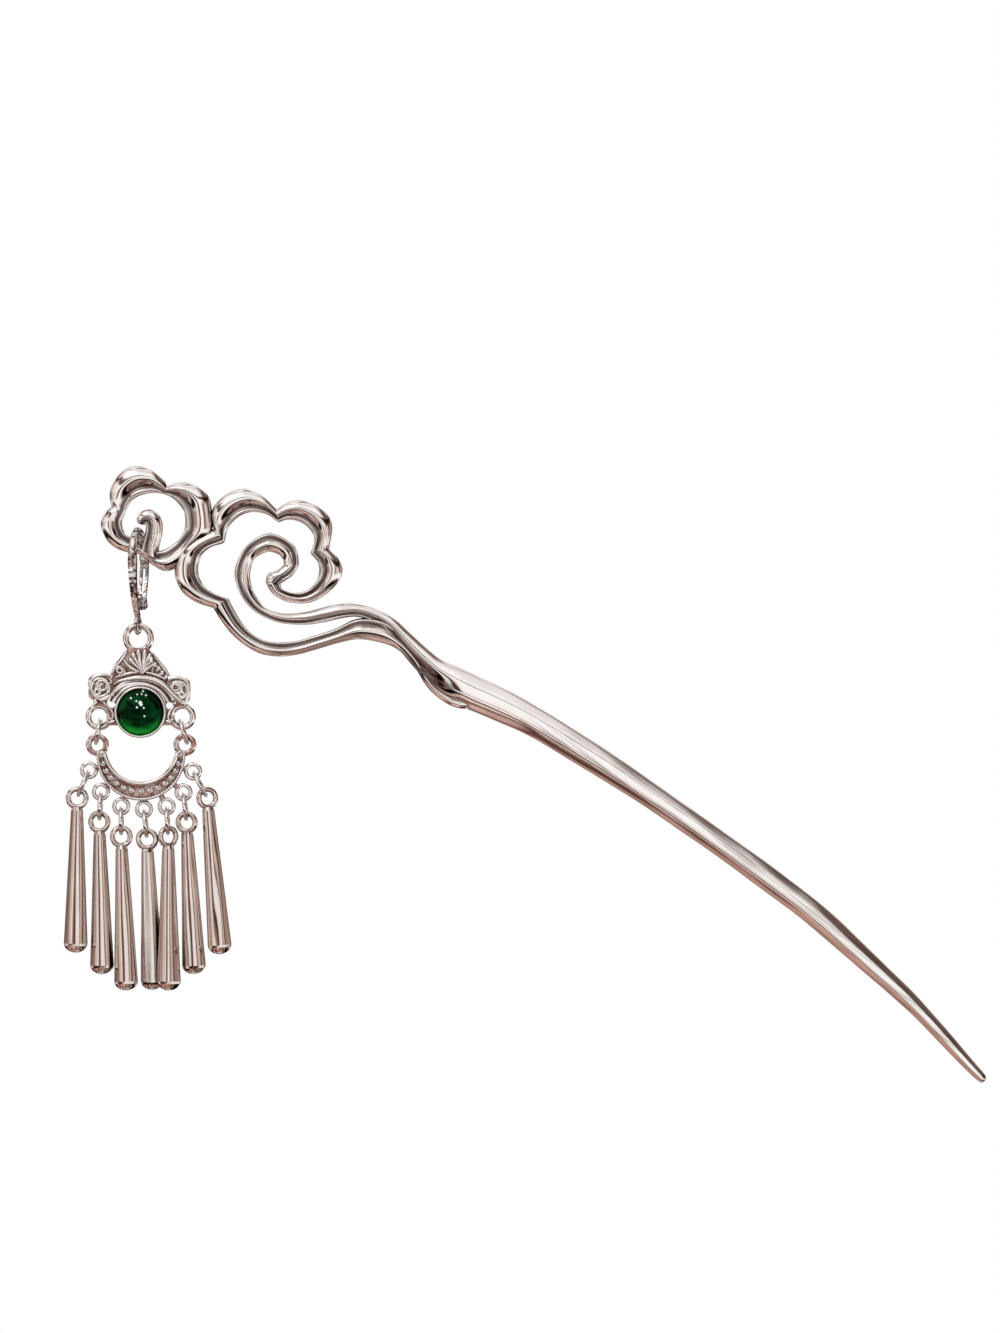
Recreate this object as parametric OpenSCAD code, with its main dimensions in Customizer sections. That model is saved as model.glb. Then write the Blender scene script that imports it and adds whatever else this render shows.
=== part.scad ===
// Openwork cloud hairpin with a hanging tassel, in millimetres.
// X runs to the right and Z up, as the openwork is looked at, and Y runs away from the viewer.
// The origin lies on the stem's centreline, at the place where the hair grips it.

/* [Cast pin] */
// Greatest depth of the cast pin, from front to back
cast_depth = 3.7; // [3.2:0.1:4.4]
// How deep a band is for its width, before it levels off
band_depth_ratio = 0.75; // [0.6:0.05:0.9]
// Steps from one drawn section of a cloud band to the next
band_steps = 3; // [2:1:4]
// Steps from one drawn section of the stem to the next
stem_steps = 2; // [1:1:4]

/* [Clasp] */
// Thickness of the clasp's round wire
clasp_wire_d = 1.3; // [1.1:0.1:1.4]
// Depth of the arch, between the centres of its two legs
arch_depth = 7.6; // [7.2:0.2:8.4]
// Width of the front strap at its top
strap_w = 1.5; // [1.2:0.1:1.7]
// Turn of the clasp's plane away from straight front to back, in degrees
clasp_turn = 11; // [0:1:15]
// Outer diameter of the small eye that carries the pendant
clasp_eye_d = 3.45; // [3.4:0.05:3.6]

/* [Lever] */
// Width of the back lever
lever_w = 1.5; // [1.4:0.1:1.9]
// Thickness of the back lever's strip
lever_t = 0.6; // [0.5:0.05:0.7]
// Length of the slot in the lever
lever_slot_l = 4.1; // [3:0.1:4.4]
// Diameter of the rivet that the lever turns on
rivet_d = 0.6; // [0.5:0.05:0.7]

/* [Pendant head] */
// Diameter of the round stone
stone_d = 7.9; // [7:0.1:8]
// Height of the stone's dome in front of its girdle
stone_dome = 2.3; // [1.6:0.1:3]
// Outer diameter of the setting round the stone
bezel_d = 8.9; // [8.6:0.1:9.2]
// Outer diameter of the ring that hangs in the clasp
top_ring_d = 5.4; // [5.3:0.05:5.5]
// Outer diameter of the two side eyes
side_eye_d = 4.7; // [4.4:0.1:4.8]

/* [Crescent] */
// Radius of the crescent's inner edge
crescent_inner_r = 6; // [5.8:0.1:6.2]
// Radius of the crescent's outer edge
crescent_outer_r = 7.6; // [7.4:0.1:7.8]
// How far the centre of the outer edge lies below that of the inner edge
crescent_drop = 1.6; // [1.4:0.1:1.8]
// Number of beads in the crescent's channel
crescent_beads = 13; // [7:2:15]

/* [Drops] */
// Length of a drop bar, from the centre of its eye to its end
bar_l = 26.6; // [20:0.2:28]
// Diameter of a drop bar at its neck
bar_neck_d = 2.1; // [1.8:0.1:2.4]
// Diameter of a drop bar at its thick end
bar_end_d = 4.1; // [3:0.1:4.2]
// Wire thickness of a jump ring
jump_wire_d = 0.72; // [0.6:0.02:0.74]

/* [Hidden] */

$fn = 48;
silver = [0.8, 0.77, 0.75];
stone_green = [0.02, 0.28, 0.08];

// Half of a band's section, from its outer rim over the ridge to its inner rim:
// across the band (1 is the outer rim, -1 the inner rim), height (1 is the ridge)
half_section = [[1, 0], [0.93, 0.42], [0.6, 0.78], [0.02, 1], [-0.42, 0.76], [-0.88, 0.46], [-1, 0]];
// The depth of a band levels off with its width by this much for each millimetre
band_depth_easing = 0.25;

// Tables of sections: x, z of the middle, width, and the direction in degrees from the middle to
// the outer rim. A table ends at a crease, and the next one starts with the same section.
lower_strand = [
    [-38.5, 21.7, 2.3, -112],
    [-43.3, 23, 2.3, -126],
    [-46, 25.5, 2.4, -139],
    [-48.5, 29.9, 3.4, -136],
    [-51.6, 32.8, 3.7, -124],
    [-55, 34.1, 3.8, -104],
    [-58.8, 34.5, 3.6, -87],
    [-62.5, 33.3, 2.5, -78],
    [-66, 32.2, 2.4, -78],
    [-69.2, 31.3, 2.5, -86],
    [-72.3, 31, 2.6, -94],
    [-75.3, 31.5, 2.6, -101],
    [-77.8, 32.9, 2.6, -112],
    [-79.8, 34.8, 2.8, -125],
    [-81.3, 37, 3, -135],
    [-82.4, 39, 3.2, -146]];
left_lobe = [
    [-82.4, 39, 3.2, -146],
    [-85.1, 40, 3.7, -152],
    [-87.3, 41.7, 4, -161],
    [-88.3, 44.1, 4.1, -170],
    [-87.9, 47, 4.2, -182],
    [-85.8, 49.1, 3.7, -196],
    [-82.7, 50.5, 3, -231]];
upper_left_lobe = [
    [-82.7, 50.5, 3, -231],
    [-82.7, 52.9, 4.1, -229],
    [-81.6, 54.7, 4.4, -234],
    [-79.7, 56.1, 4.5, -245],
    [-77.3, 56.6, 4.3, -254],
    [-74.7, 55.8, 3.5, -259],
    [-72.6, 54, 2.4, -265]];
upper_right_lobe = [
    [-72.6, 54, 2.4, -265],
    [-70.9, 54.8, 3, -270],
    [-68.4, 54.8, 3.8, -283],
    [-66.1, 53.5, 4.2, -301],
    [-64.8, 51.2, 4.1, -318],
    [-65.4, 47.9, 3.4, -344]];
lower_right_lobe = [
    [-65.4, 47.9, 3.4, -344],
    [-64.1, 46.5, 3.7, -352],
    [-63.5, 44.7, 4, -359],
    [-64.1, 42.7, 3.8, -363],
    [-65.7, 41, 3.2, -375],
    [-68, 39.9, 2.7, -398],
    [-70.5, 40, 2.2, -431],
    [-72.5, 40.9, 1.8, -481],
    [-73.5, 42.4, 2.5, -548]];
curl_and_upper_strand = [
    [-73.5, 42.4, 2.5, -548],
    [-72.8, 43.4, 3.2, -561],
    [-71.3, 44.3, 3.1, -550],
    [-70.3, 45.9, 2.7, -534],
    [-71.2, 48.2, 3.1, -498],
    [-74.2, 49.4, 3.3, -453],
    [-77.4, 47.6, 2.6, -406],
    [-78.7, 44.4, 2.7, -364],
    [-78.3, 41.6, 2.5, -356],
    [-77.1, 39.4, 2.3, -349],
    [-75.2, 37.6, 1.9, -333],
    [-72, 36.4, 1.9, -297],
    [-68.1, 36.3, 2.3, -278],
    [-64.5, 37, 2.7, -277],
    [-61.6, 37.6, 2.6, -278],
    [-58.7, 37.7, 2.4, -291],
    [-56, 36.9, 2.4, -298],
    [-53.3, 35.4, 2.4, -305],
    [-50.7, 33, 2.8, -311],
    [-48, 30, 3.1, -311],
    [-45.5, 27.5, 3.8, -300],
    [-42.6, 25.3, 5.3, -291],
    [-39.1, 23.3, 6.3, -290]];
stem = [
    [-39.1, 23.3, 6.3, -290],
    [-35.3, 21.9, 5.9, -289],
    [-28.3, 18.4, 5.2, -292],
    [-18.4, 12.4, 4.9, -296],
    [-7.4, 5.1, 4.3, -299],
    [4.4, -3.1, 4.2, -304],
    [18.5, -13.6, 4.2, -308],
    [28.2, -22.2, 3.6, -312],
    [37.2, -30.6, 2.8, -316],
    [46.2, -40.4, 2, -319],
    [48.4, -42.7, 1.6, -320],
    [48.9, -43.3, 0.9, -320]];

// The small cloud ring round its own centre: direction, radius of the rim, radius of the hole.
// It also ends at a crease, and the three tables close on each other.
ring_at = [-93.8, 53];
ring_right = [
    [70, 6.5, 4.95],
    [57, 8, 5],
    [43, 9.4, 5.05],
    [27, 10.2, 5.15],
    [12, 10, 5.25],
    [-12, 9.9, 5.25],
    [-38, 8.1, 5.15],
    [-62, 8.7, 5.05],
    [-77, 8.8, 5.1],
    [-92, 7.6, 5.1],
    [-104, 6.6, 4.8],
    [-117, 6.3, 4.2]];
ring_left = [
    [-117, 6.3, 4.2],
    [-131, 7.1, 3.9],
    [-145, 8.1, 4.7],
    [-160, 8.9, 5.4],
    [-177, 9.3, 5.6],
    [-190, 8.6, 5.35],
    [-199, 7.8, 5.25]];
ring_top = [
    [-199, 7.8, 5.25],
    [-212, 9.1, 5.25],
    [-228, 10, 5.25],
    [-246, 10.3, 5],
    [-264, 9.3, 4.9],
    [-279, 7.7, 4.9],
    [-290, 6.5, 4.95]];
comma_curl = [
    [-96.2, 53.4, 1.2, 85],
    [-95.2, 53.5, 2.3, 67],
    [-94.1, 52.8, 2.4, 33],
    [-94, 51.3, 2.8, 2],
    [-94.2, 49.3, 2.9, -14],
    [-94.2, 46.9, 4, -22]];

// The clasp hangs over the band of the small ring, and swings about this point of the band
clasp_at = [-96.7, 0, 48.75];
wire_r = clasp_wire_d / 2;
arch_r = arch_depth / 2;
arch_drop = 1.15;
strap_t = 0.9;
strap_foot_w = 0.8;
strap_straight_l = 1.5;
clasp_eye_wire_r = 0.375;
clasp_eye_r = clasp_eye_d / 2 - clasp_eye_wire_r;
clasp_eye_z = -13.6;
// The front strap bends from straight down to the middle of the eye, on one arc
strap_top_z = -arch_drop - strap_straight_l;
strap_fall = strap_top_z - (clasp_eye_z + clasp_eye_r);
strap_bend_r = (arch_r * arch_r + strap_fall * strap_fall) / (2 * arch_r);
strap_bend_angle = asin(strap_fall / strap_bend_r);
rivet_y = 1.7;
rivet_z = -10.2;
lug_t = 0.8;
lug_r = 0.8;
rivet_head_d = 1.1;
rivet_head_t = 0.25;
cheek_t = 0.35;
cheek_gap = 0.1;
cheek_r = 0.75;
rivet_play = 0.04;
wire_end_l = 1.1;
// The lever's strip is one arc, from its upright top outside the wire's end to the cheeks
lever_gap = 0.2;
lever_top_y = arch_r + wire_r + lever_gap + lever_t / 2;
lever_top_z = -arch_drop;
lever_foot_y = 2.7;
lever_fall = 8.05;
lever_lean = lever_top_y - lever_foot_y;
lever_bend_r = (lever_lean * lever_lean + lever_fall * lever_fall) / (2 * lever_lean);
lever_bend_angle = asin(lever_fall / lever_bend_r);
lever_slot_w = 0.5;
lever_slot_z = -5.9;

// The tassel is drawn from the centre of the crescent's inner edge
tassel_at = [-96.15, 0, 14.2];
top_ring_at = [-0.45, 18.7];
top_ring_wire_r = 0.55;
stone_at = [-0.1, 6];
stone_back = 0.15;
stone_girdle = 0.9;
bezel_front = -1.15;
bezel_back = 0.9;
bezel_floor = 0.6;
bezel_play = 0.06;
plate_front = -0.8;
plate_back = 0.7;
side_eye_wire_r = 0.52;
side_eyes = [[-7.2, 5.2], [7.1, 5.2]];
side_eye_r = side_eye_d / 2 - side_eye_wire_r;
// The roof band over the stone, and the row of grains along its top
roof_at = [0, 5.5];
roof_outer_r = 6.5;
roof_inner_r = 4.7;
roof_half_angle = 66;
roof_rib_r = 0.42;
grain_r = 0.3;
grain_count = 11;
grain_step = 5.6;
// Scroll wings: x, z of the middle, width, height, and the side on which the scroll opens
wings = [[-7, 10.2, 4, 4.4, 1], [6.5, 9.7, 3.9, 4.4, -1]];
wing_corner_reach = 2.5;
// Posts from the wings down to the side eyes: x of the middle, width
wing_posts = [[-7.4, 1.3], [6.8, 2.1]];
wing_post_top_z = 9;
// Pierced gaps between the roof, the setting and the posts: x, z of the middle, radius
pierced_gaps = [[-5.1, 7.5, 0.75], [4.95, 7.15, 0.65]];
// The palmette over the roof: its foot, its height, and the directions of its ribs
palmette_foot = [0.15, 12.6];
// Direction and length of each rib
palmette_ribs = [[-50, 3.2], [-30, 3.6], [-10, 3.9], [10, 3.9], [30, 3.4], [50, 2.8]];
palmette_rib_r = 0.42;
wing_rim_r = 0.36;
wing_curl_r = 0.85;
wing_small_curl_r = 0.45;
// The left end of the roof's inner rib runs on over the wing
roof_tail = [[-4.6, 9.1], [-6.9, 7.95]];

link_wire_r = 0.37;
link_r = 1.97;
end_eye_r = 1.5;
end_eye_wire_r = 0.5;
end_eyes = [[-7.5, 0.4], [7.55, 0.4]];
crescent_front = -0.85;
crescent_back = 0.6;
crescent_top_z = -0.7;
channel_top_z = -1.8;
channel_depth = 0.4;
channel_rim = 0.42;
channel_bead_r = 0.42;
channel_span = 134;

// The seven hanging chains: x, z of the crescent's lower eye, direction in which the jump ring
// hangs, lean of the bar to the right, lean of the bar to the back, turn of the bar's eye, and
// how much longer than the others the bar came out of the mould
chains = [
    [-8.95, -4, -23, -0.6, 0, 4, 0],
    [-6.9, -7.7, -3, 0.95, 2.2, -12, -0.35],
    [-3.4, -10.2, 0, 1.9, 0, 5, -0.1],
    [0.5, -10.7, 6, 1.8, 7.2, -8, -0.35],
    [4.4, -10.2, 3, 0.25, 0, 34, -0.1],
    [7.3, -7.8, 6, 2.8, 3.3, -16, -0.35],
    [8.95, -4.2, 28, 4.8, 0, 22, 0.35]];
low_eye_r = 1.22;
low_eye_wire_r = 0.37;
bar_eye_r = 1.53;
bar_eye_wire_r = 0.46;
jump_wire_r = jump_wire_d / 2;
chain_play = 0.12;
// From the centre of a lower eye to the centre of the bar's eye
chain_l = 5.2;
jump_inner_r = (chain_l - low_eye_r - bar_eye_r + low_eye_wire_r + bar_eye_wire_r) / 2 + chain_play;
jump_r = jump_inner_r + jump_wire_r;
dome_h = 1.6;

function band_half_depth(width) = band_depth_ratio * width / (1 + band_depth_easing * width);

// A row of numbers between rows i and i + 1, on a smooth curve through all rows of the table
function smooth_row(rows, i, t) =
    let (here = rows[i], there = rows[i + 1])
    let (before = i > 0 ? rows[i - 1] : 2 * here - there)
    let (after = i + 2 < len(rows) ? rows[i + 2] : 2 * there - here)
    0.5 * (2 * here + (there - before) * t
        + (2 * before - 5 * here + 4 * there - after) * t * t
        + (3 * here - before - 3 * there + after) * t * t * t);

function smooth_rows(rows, steps) = [
    for (i = [0 : len(rows) - 2], s = [0 : steps - 1]) smooth_row(rows, i, s / steps),
    rows[len(rows) - 1]];

function all_but_last(rows) = [for (i = [0 : len(rows) - 2]) rows[i]];

// A row of the small ring as x, z, width and direction
function ring_section(row) = [
    ring_at.x + (row[1] + row[2]) / 2 * cos(row[0]),
    ring_at.y + (row[1] + row[2]) / 2 * sin(row[0]),
    row[1] - row[2],
    row[0]];

section_front = all_but_last(half_section);
section_loop = concat(
    [for (p = section_front) [p.x, -p.y]],
    [for (i = [len(half_section) - 1 : -1 : 1]) half_section[i]]);

// The points of one section of a band, set in space
function section_points(row) = [
    for (p = section_loop) [
        row[0] + p.x * row[2] / 2 * cos(row[3]),
        p.y * band_half_depth(row[2]),
        row[1] + p.x * row[2] / 2 * sin(row[3])]];

// A solid band through all its sections, with closed ends
module band(rows) {
    around = len(section_loop);
    last = len(rows) - 1;
    points = [for (row = rows) each section_points(row)];
    sides = [for (i = [0 : last - 1], k = [0 : around - 1])
        let (n = (k + 1) % around)
        [i * around + k, (i + 1) * around + k, (i + 1) * around + n, i * around + n]];
    start_cap = [[for (k = [0 : around - 1]) k]];
    end_cap = [[for (k = [around - 1 : -1 : 0]) last * around + k]];
    polyhedron(points, concat(sides, start_cap, end_cap));
}

// A band that closes on itself, where the last section is the first one again
module closed_band(rows) {
    around = len(section_loop);
    count = len(rows) - 1;
    points = [for (i = [0 : count - 1]) each section_points(rows[i])];
    sides = [for (i = [0 : count - 1], k = [0 : around - 1])
        let (n = (k + 1) % around, j = (i + 1) % count)
        [i * around + k, j * around + k, j * around + n, i * around + n]];
    polyhedron(points, sides);
}

// The big cloud is one stroke in two bands, which meet at the beak: round the lobes, and from the
// inner curl back over the lower strand into the stem
lobe_rows = concat(
    all_but_last(smooth_rows(lower_strand, band_steps)),
    all_but_last(smooth_rows(left_lobe, band_steps)),
    all_but_last(smooth_rows(upper_left_lobe, band_steps)),
    all_but_last(smooth_rows(upper_right_lobe, band_steps)),
    smooth_rows(lower_right_lobe, band_steps));
curl_and_stem_rows = concat(
    all_but_last(smooth_rows(curl_and_upper_strand, band_steps)),
    smooth_rows(stem, stem_steps));
ring_rows = concat(
    all_but_last(smooth_rows([for (row = ring_right) ring_section(row)], band_steps)),
    all_but_last(smooth_rows([for (row = ring_left) ring_section(row)], band_steps)),
    smooth_rows([for (row = ring_top) ring_section(row)], band_steps));

// The one-piece casting: the big cloud and stem, the small ring, and the comma curl inside it
module pin() {
    color(silver)
        resize([0, cast_depth, 0])
            union() {
                band(lobe_rows);
                band(curl_and_stem_rows);
                closed_band(ring_rows);
                band(smooth_rows(comma_curl, band_steps));
            }
}

// Stands a flat drawing up to face the viewer, from one depth to another
module facing_plate(front, back) {
    translate([0, back, 0])
        rotate([90, 0, 0])
            linear_extrude(height = back - front)
                children();
}

// A round wire ring that faces the viewer
module facing_ring(centre, radius, wire_radius) {
    translate([centre.x, 0, centre.y])
        rotate([90, 0, 0])
            rotate_extrude()
                translate([radius, 0])
                    circle(wire_radius);
}

// A short round bar between two points of the facing plane
module facing_bar(from, to, radius) {
    run = to - from;
    translate([from.x, 0, from.y])
        rotate([0, atan2(run.x, run.y), 0])
            cylinder(h = norm(run), r = radius);
}

// Sets drawings of the clasp, made as depth and height, into its own plane
module clasp_plane() {
    translate(clasp_at)
        rotate([90, 0, 90 - clasp_turn])
            children();
}

// A strip bent on one arc, from the angle given down to its foot
module bent_strip(centre, radius, start_angle, angle, thickness, width) {
    translate(centre)
        rotate([0, 0, start_angle])
            rotate_extrude(angle = angle)
                translate([radius - thickness / 2, -width / 2])
                    square([thickness, width]);
}

module clasp_arch() {
    translate([0, -arch_drop])
        rotate_extrude(angle = 180)
            translate([arch_r, 0])
                circle(wire_r);
    translate([arch_r, -arch_drop - wire_end_l, 0])
        rotate([-90, 0, 0])
            cylinder(h = wire_end_l, r = wire_r);
    translate([arch_r, -arch_drop - wire_end_l, 0])
        sphere(wire_r);
}

// The front strap widens out of the wire, and narrows again down to the eye
module clasp_strap() {
    strap_foot_z = clasp_eye_z + clasp_eye_r - 0.1;
    intersection() {
        union() {
            translate([-arch_r - strap_t / 2, strap_top_z, -strap_w / 2])
                cube([strap_t, strap_straight_l + wire_r, strap_w]);
            bent_strip([strap_bend_r - arch_r, strap_top_z, 0], strap_bend_r, 180, strap_bend_angle,
                strap_t, strap_w);
        }
        rotate([0, 90, 0])
            linear_extrude(height = 4 * arch_r, center = true)
                polygon([
                    [-wire_r, wire_r - arch_drop],
                    [wire_r, wire_r - arch_drop],
                    [strap_w / 2, strap_top_z],
                    [strap_foot_w / 2, strap_foot_z],
                    [-strap_foot_w / 2, strap_foot_z],
                    [-strap_w / 2, strap_top_z]]);
    }
}

// The lug that carries the rivet, and the rivet with its two heads
module rivet_lug() {
    rivet_half_l = lug_t / 2 + 2 * cheek_gap + cheek_t;
    linear_extrude(height = lug_t, center = true)
        union() {
            translate([rivet_y, rivet_z])
                circle(lug_r);
            polygon([
                [-2.2, rivet_z + lug_r],
                [rivet_y, rivet_z + lug_r],
                [rivet_y, rivet_z - lug_r],
                [-1.3, rivet_z - lug_r]]);
        }
    translate([rivet_y, rivet_z, 0]) {
        cylinder(h = 2 * rivet_half_l, d = rivet_d, center = true);
        for (side = [-1, 1])
            translate([0, 0, side * (rivet_half_l + rivet_head_t / 2)])
                cylinder(h = rivet_head_t, d = rivet_head_d, center = true);
    }
}

// The clasp's hook: arch, front strap, bottom eye and rivet
module clasp_hook() {
    color(silver)
        clasp_plane() {
            clasp_arch();
            clasp_strap();
            rivet_lug();
            translate([0, clasp_eye_z])
                rotate_extrude()
                    translate([clasp_eye_r, 0])
                        circle(clasp_eye_wire_r);
        }
}

// The clasp's back lever: a slotted strip with two cheeks on the rivet
module clasp_lever() {
    cheek_turn = atan2(lever_top_z - lever_fall - rivet_z, lever_foot_y - rivet_y);
    cheek_l = norm([lever_top_z - lever_fall - rivet_z, lever_foot_y - rivet_y]) + lever_t / 2;
    cheek_in = lug_t / 2 + cheek_gap;
    color(silver)
        clasp_plane()
            difference() {
                union() {
                    bent_strip([lever_top_y - lever_bend_r, lever_top_z, 0], lever_bend_r,
                        -lever_bend_angle, lever_bend_angle, lever_t, lever_w);
                    for (side = [-1, 1])
                        translate([rivet_y, rivet_z, side * (cheek_in + cheek_t / 2)])
                            linear_extrude(height = cheek_t, center = true)
                                union() {
                                    circle(cheek_r);
                                    rotate(cheek_turn)
                                        translate([0, -cheek_r])
                                            square([cheek_l, 2 * cheek_r - 0.3]);
                                }
                }
                translate([rivet_y, rivet_z, 0])
                    cylinder(h = 2 * lever_w, d = rivet_d + 2 * rivet_play, center = true);
                translate([lever_foot_y - 1, lever_slot_z - lever_slot_l / 2, -lever_slot_w / 2])
                    cube([4, lever_slot_l, lever_slot_w]);
            }
}

module tassel_place() {
    translate(tassel_at)
        children();
}

// The setting: a closed cup with a thin wall, which holds the stone's girdle
module bezel() {
    translate([stone_at.x, bezel_back, stone_at.y])
        rotate([90, 0, 0])
            difference() {
                cylinder(h = bezel_back - bezel_front, d = bezel_d);
                translate([0, 0, bezel_floor])
                    cylinder(h = bezel_back - bezel_front, d = stone_d + 2 * bezel_play);
            }
}

// The curved roof over the stone: a plate with two raised ribs, and a row of grains
module roof() {
    translate([roof_at.x, 0, roof_at.y]) {
        difference() {
            facing_plate(plate_front, plate_back)
                intersection() {
                    difference() {
                        circle(roof_outer_r);
                        circle(roof_inner_r);
                    }
                    polygon([
                        [0, 0],
                        10 * [-sin(roof_half_angle), cos(roof_half_angle)],
                        [-6, 12],
                        [6, 12],
                        10 * [sin(roof_half_angle), cos(roof_half_angle)]]);
                }
            translate([stone_at.x - roof_at.x, bezel_back, stone_at.y - roof_at.y])
                rotate([90, 0, 0])
                    cylinder(h = 2 * bezel_back - 2 * bezel_front, d = bezel_d - 0.2, center = true);
        }
        for (rib_r = [roof_outer_r - roof_rib_r + 0.07, roof_inner_r + roof_rib_r + 0.1])
            translate([0, plate_front, 0])
                rotate([90, roof_half_angle - 90, 0])
                    rotate_extrude(angle = 2 * roof_half_angle)
                        translate([rib_r, 0])
                            circle(roof_rib_r);
        for (i = [0 : grain_count - 1])
            rotate([0, (i - (grain_count - 1) / 2) * grain_step, 0])
                translate([0, plate_front + 0.1, roof_outer_r + grain_r / 2])
                    sphere(grain_r);
    }
}

// A scroll wing: a plate with rounded corners, which carries a raised rim and two curls
module wing(row) {
    centre = [row[0], row[1]];
    half = [row[2], row[3]] / 2;
    facing_plate(plate_front, plate_back)
        translate(centre)
            intersection() {
                square([row[2], row[3]], center = true);
                circle(wing_corner_reach);
            }
    translate([0, plate_front, 0]) {
        facing_ring(centre, half.x - wing_rim_r - 0.1, wing_rim_r);
        facing_ring(centre + [0.35 * row[4], 0.35], wing_curl_r, wing_rim_r);
        facing_ring(centre + [-0.5 * row[4], -0.75], wing_small_curl_r, wing_rim_r);
    }
}

// The palmette between the roof and the top ring: a plate with ribs and two small rings
module palmette() {
    facing_plate(plate_front + 0.2, plate_back)
        polygon([
            [-5.6, 10.6],
            [-4.8, 12.4],
            [-4.2, 13.8],
            [-3.3, 15],
            [-2.7, 16.1],
            [-2.2, 17],
            [1.4, 17],
            [1.8, 16.1],
            [2.8, 14.6],
            [3.9, 13.5],
            [4.5, 12.2],
            [5.2, 10.6],
            [5.2, 9.4],
            [3.4, 10.4],
            [-3.4, 10.4],
            [-5.2, 9.4]]);
    translate([0, plate_front + 0.25, 0]) {
        for (row = palmette_ribs)
            facing_bar(palmette_foot, palmette_foot + row[1] * [sin(row[0]), cos(row[0])], palmette_rib_r);
        facing_ring([2.7, 13.1], 0.75, 0.3);
        facing_ring([-3.4, 13], 0.6, 0.35);
    }
}

// The plate behind the roof's two ends, which joins the setting, the side eyes and the wings
module side_webs() {
    facing_plate(plate_front + 0.25, plate_back)
        difference() {
            union() {
                for (post = wing_posts)
                    translate([post[0], (side_eyes[0].y + wing_post_top_z) / 2])
                        square([post[1], wing_post_top_z - side_eyes[0].y], center = true);
                for (eye = side_eyes)
                    let (out = sign(eye.x))
                    polygon([
                        [out * 6.6, 9.4],
                        [out * 3.6, 10],
                        [out * 3.6, 3.7],
                        eye + [out * -1.4, -1.5],
                        eye + [out * 0.4, 2.2]]);
            }
            for (eye = side_eyes)
                translate(eye)
                    circle(side_eye_r);
            for (gap = pierced_gaps)
                translate([gap[0], gap[1]])
                    circle(gap[2]);
            translate(stone_at)
                circle(d = bezel_d - 0.3);
        }
    translate([0, plate_front, 0])
        facing_bar(roof_tail[0], roof_tail[1], roof_rib_r);
}

// The cast head of the pendant, with its top ring and its two side eyes
module finial() {
    color(silver)
        tassel_place() {
            facing_ring(top_ring_at, top_ring_d / 2 - top_ring_wire_r, top_ring_wire_r);
            bezel();
            roof();
            for (row = wings)
                wing(row);
            palmette();
            side_webs();
            for (eye = side_eyes)
                facing_ring(eye, side_eye_r, side_eye_wire_r);
        }
}

// The round stone: a short girdle with a domed front
module cabochon() {
    girdle_r = stone_d / 2;
    dome_r = (girdle_r * girdle_r + stone_dome * stone_dome) / (2 * stone_dome);
    color(stone_green)
        tassel_place()
            translate([stone_at.x, stone_back, stone_at.y])
                rotate([90, 0, 0])
                    intersection() {
                        cylinder(h = stone_girdle + 2 * stone_dome, d = stone_d);
                        translate([0, 0, stone_girdle + stone_dome - dome_r])
                            sphere(dome_r, $fn = 96);
                    }
}

// A link seen edge-on, which hangs in a side eye and holds an end eye of the crescent
module side_link(index) {
    top = side_eyes[index] - [0, side_eye_r];
    bottom = end_eyes[index] + [0, end_eye_r];
    edge_on_ring((top + bottom) / 2, atan2(bottom.x - top.x, top.y - bottom.y), link_r, link_wire_r);
}

// A round wire ring that is seen edge-on; hang is the direction from straight down to the right
module edge_on_ring(centre, hang, radius, wire_radius) {
    color(silver)
        tassel_place()
            translate([centre.x, 0, centre.y])
                rotate([0, -hang, 0])
                    rotate([0, 90, 0])
                        rotate_extrude()
                            translate([radius, 0])
                                circle(wire_radius);
}

module crescent_shape(inset, top_z) {
    intersection() {
        difference() {
            translate([0, -crescent_drop])
                circle(crescent_outer_r - inset);
            circle(crescent_inner_r + inset);
        }
        translate([-20, top_z - 20])
            square([40, 20]);
    }
}

// Distance from the middle of the inner edge to the outer edge, at an angle from straight down
function crescent_reach(angle) = crescent_drop * cos(angle)
    + sqrt(crescent_outer_r * crescent_outer_r - pow(crescent_drop * sin(angle), 2));

// The beaded crescent with its two end eyes and seven lower eyes
module crescent() {
    outer_at = [0, -crescent_drop];
    color(silver)
        tassel_place() {
            difference() {
                facing_plate(crescent_front, crescent_back)
                    crescent_shape(0, crescent_top_z);
                facing_plate(crescent_front - 1, crescent_front + channel_depth)
                    crescent_shape(channel_rim, channel_top_z);
            }
            for (i = [0 : crescent_beads - 1])
                let (angle = channel_span * (i / (crescent_beads - 1) - 0.5))
                let (reach = (crescent_inner_r + crescent_reach(angle)) / 2)
                translate([reach * sin(angle), crescent_front + channel_depth - 0.05, -reach * cos(angle)])
                    sphere(channel_bead_r, $fn = 24);
            for (eye = end_eyes)
                facing_ring(eye, end_eye_r, end_eye_wire_r);
            for (row = chains)
                let (eye = [row[0], row[1]])
                let (out = (eye - outer_at) / norm(eye - outer_at)) {
                    facing_ring(eye, low_eye_r, low_eye_wire_r);
                    facing_bar(outer_at + (crescent_outer_r - 0.6) * out, eye - low_eye_r * out, 0.5);
                }
        }
}

module jump_ring(index) {
    row = chains[index];
    down = [sin(row[2]), -cos(row[2])];
    top = low_eye_r - low_eye_wire_r - chain_play;
    edge_on_ring([row[0], row[1]] + (top + jump_inner_r) * down, row[2], jump_r, jump_wire_r);
}

// The outline of half a drop bar of a given length, from its neck down over the domed end
function bar_outline(length) =
    let (neck_z = -bar_eye_r, shoulder_z = dome_h - length, end_r = bar_end_d / 2)
    concat(
        [[0, neck_z], [bar_neck_d / 2 - 0.2, neck_z], [bar_neck_d / 2, neck_z - 0.6]],
        [for (angle = [0 : 15 : 90]) [end_r * cos(angle), shoulder_z - dome_h * sin(angle)]]);

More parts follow.
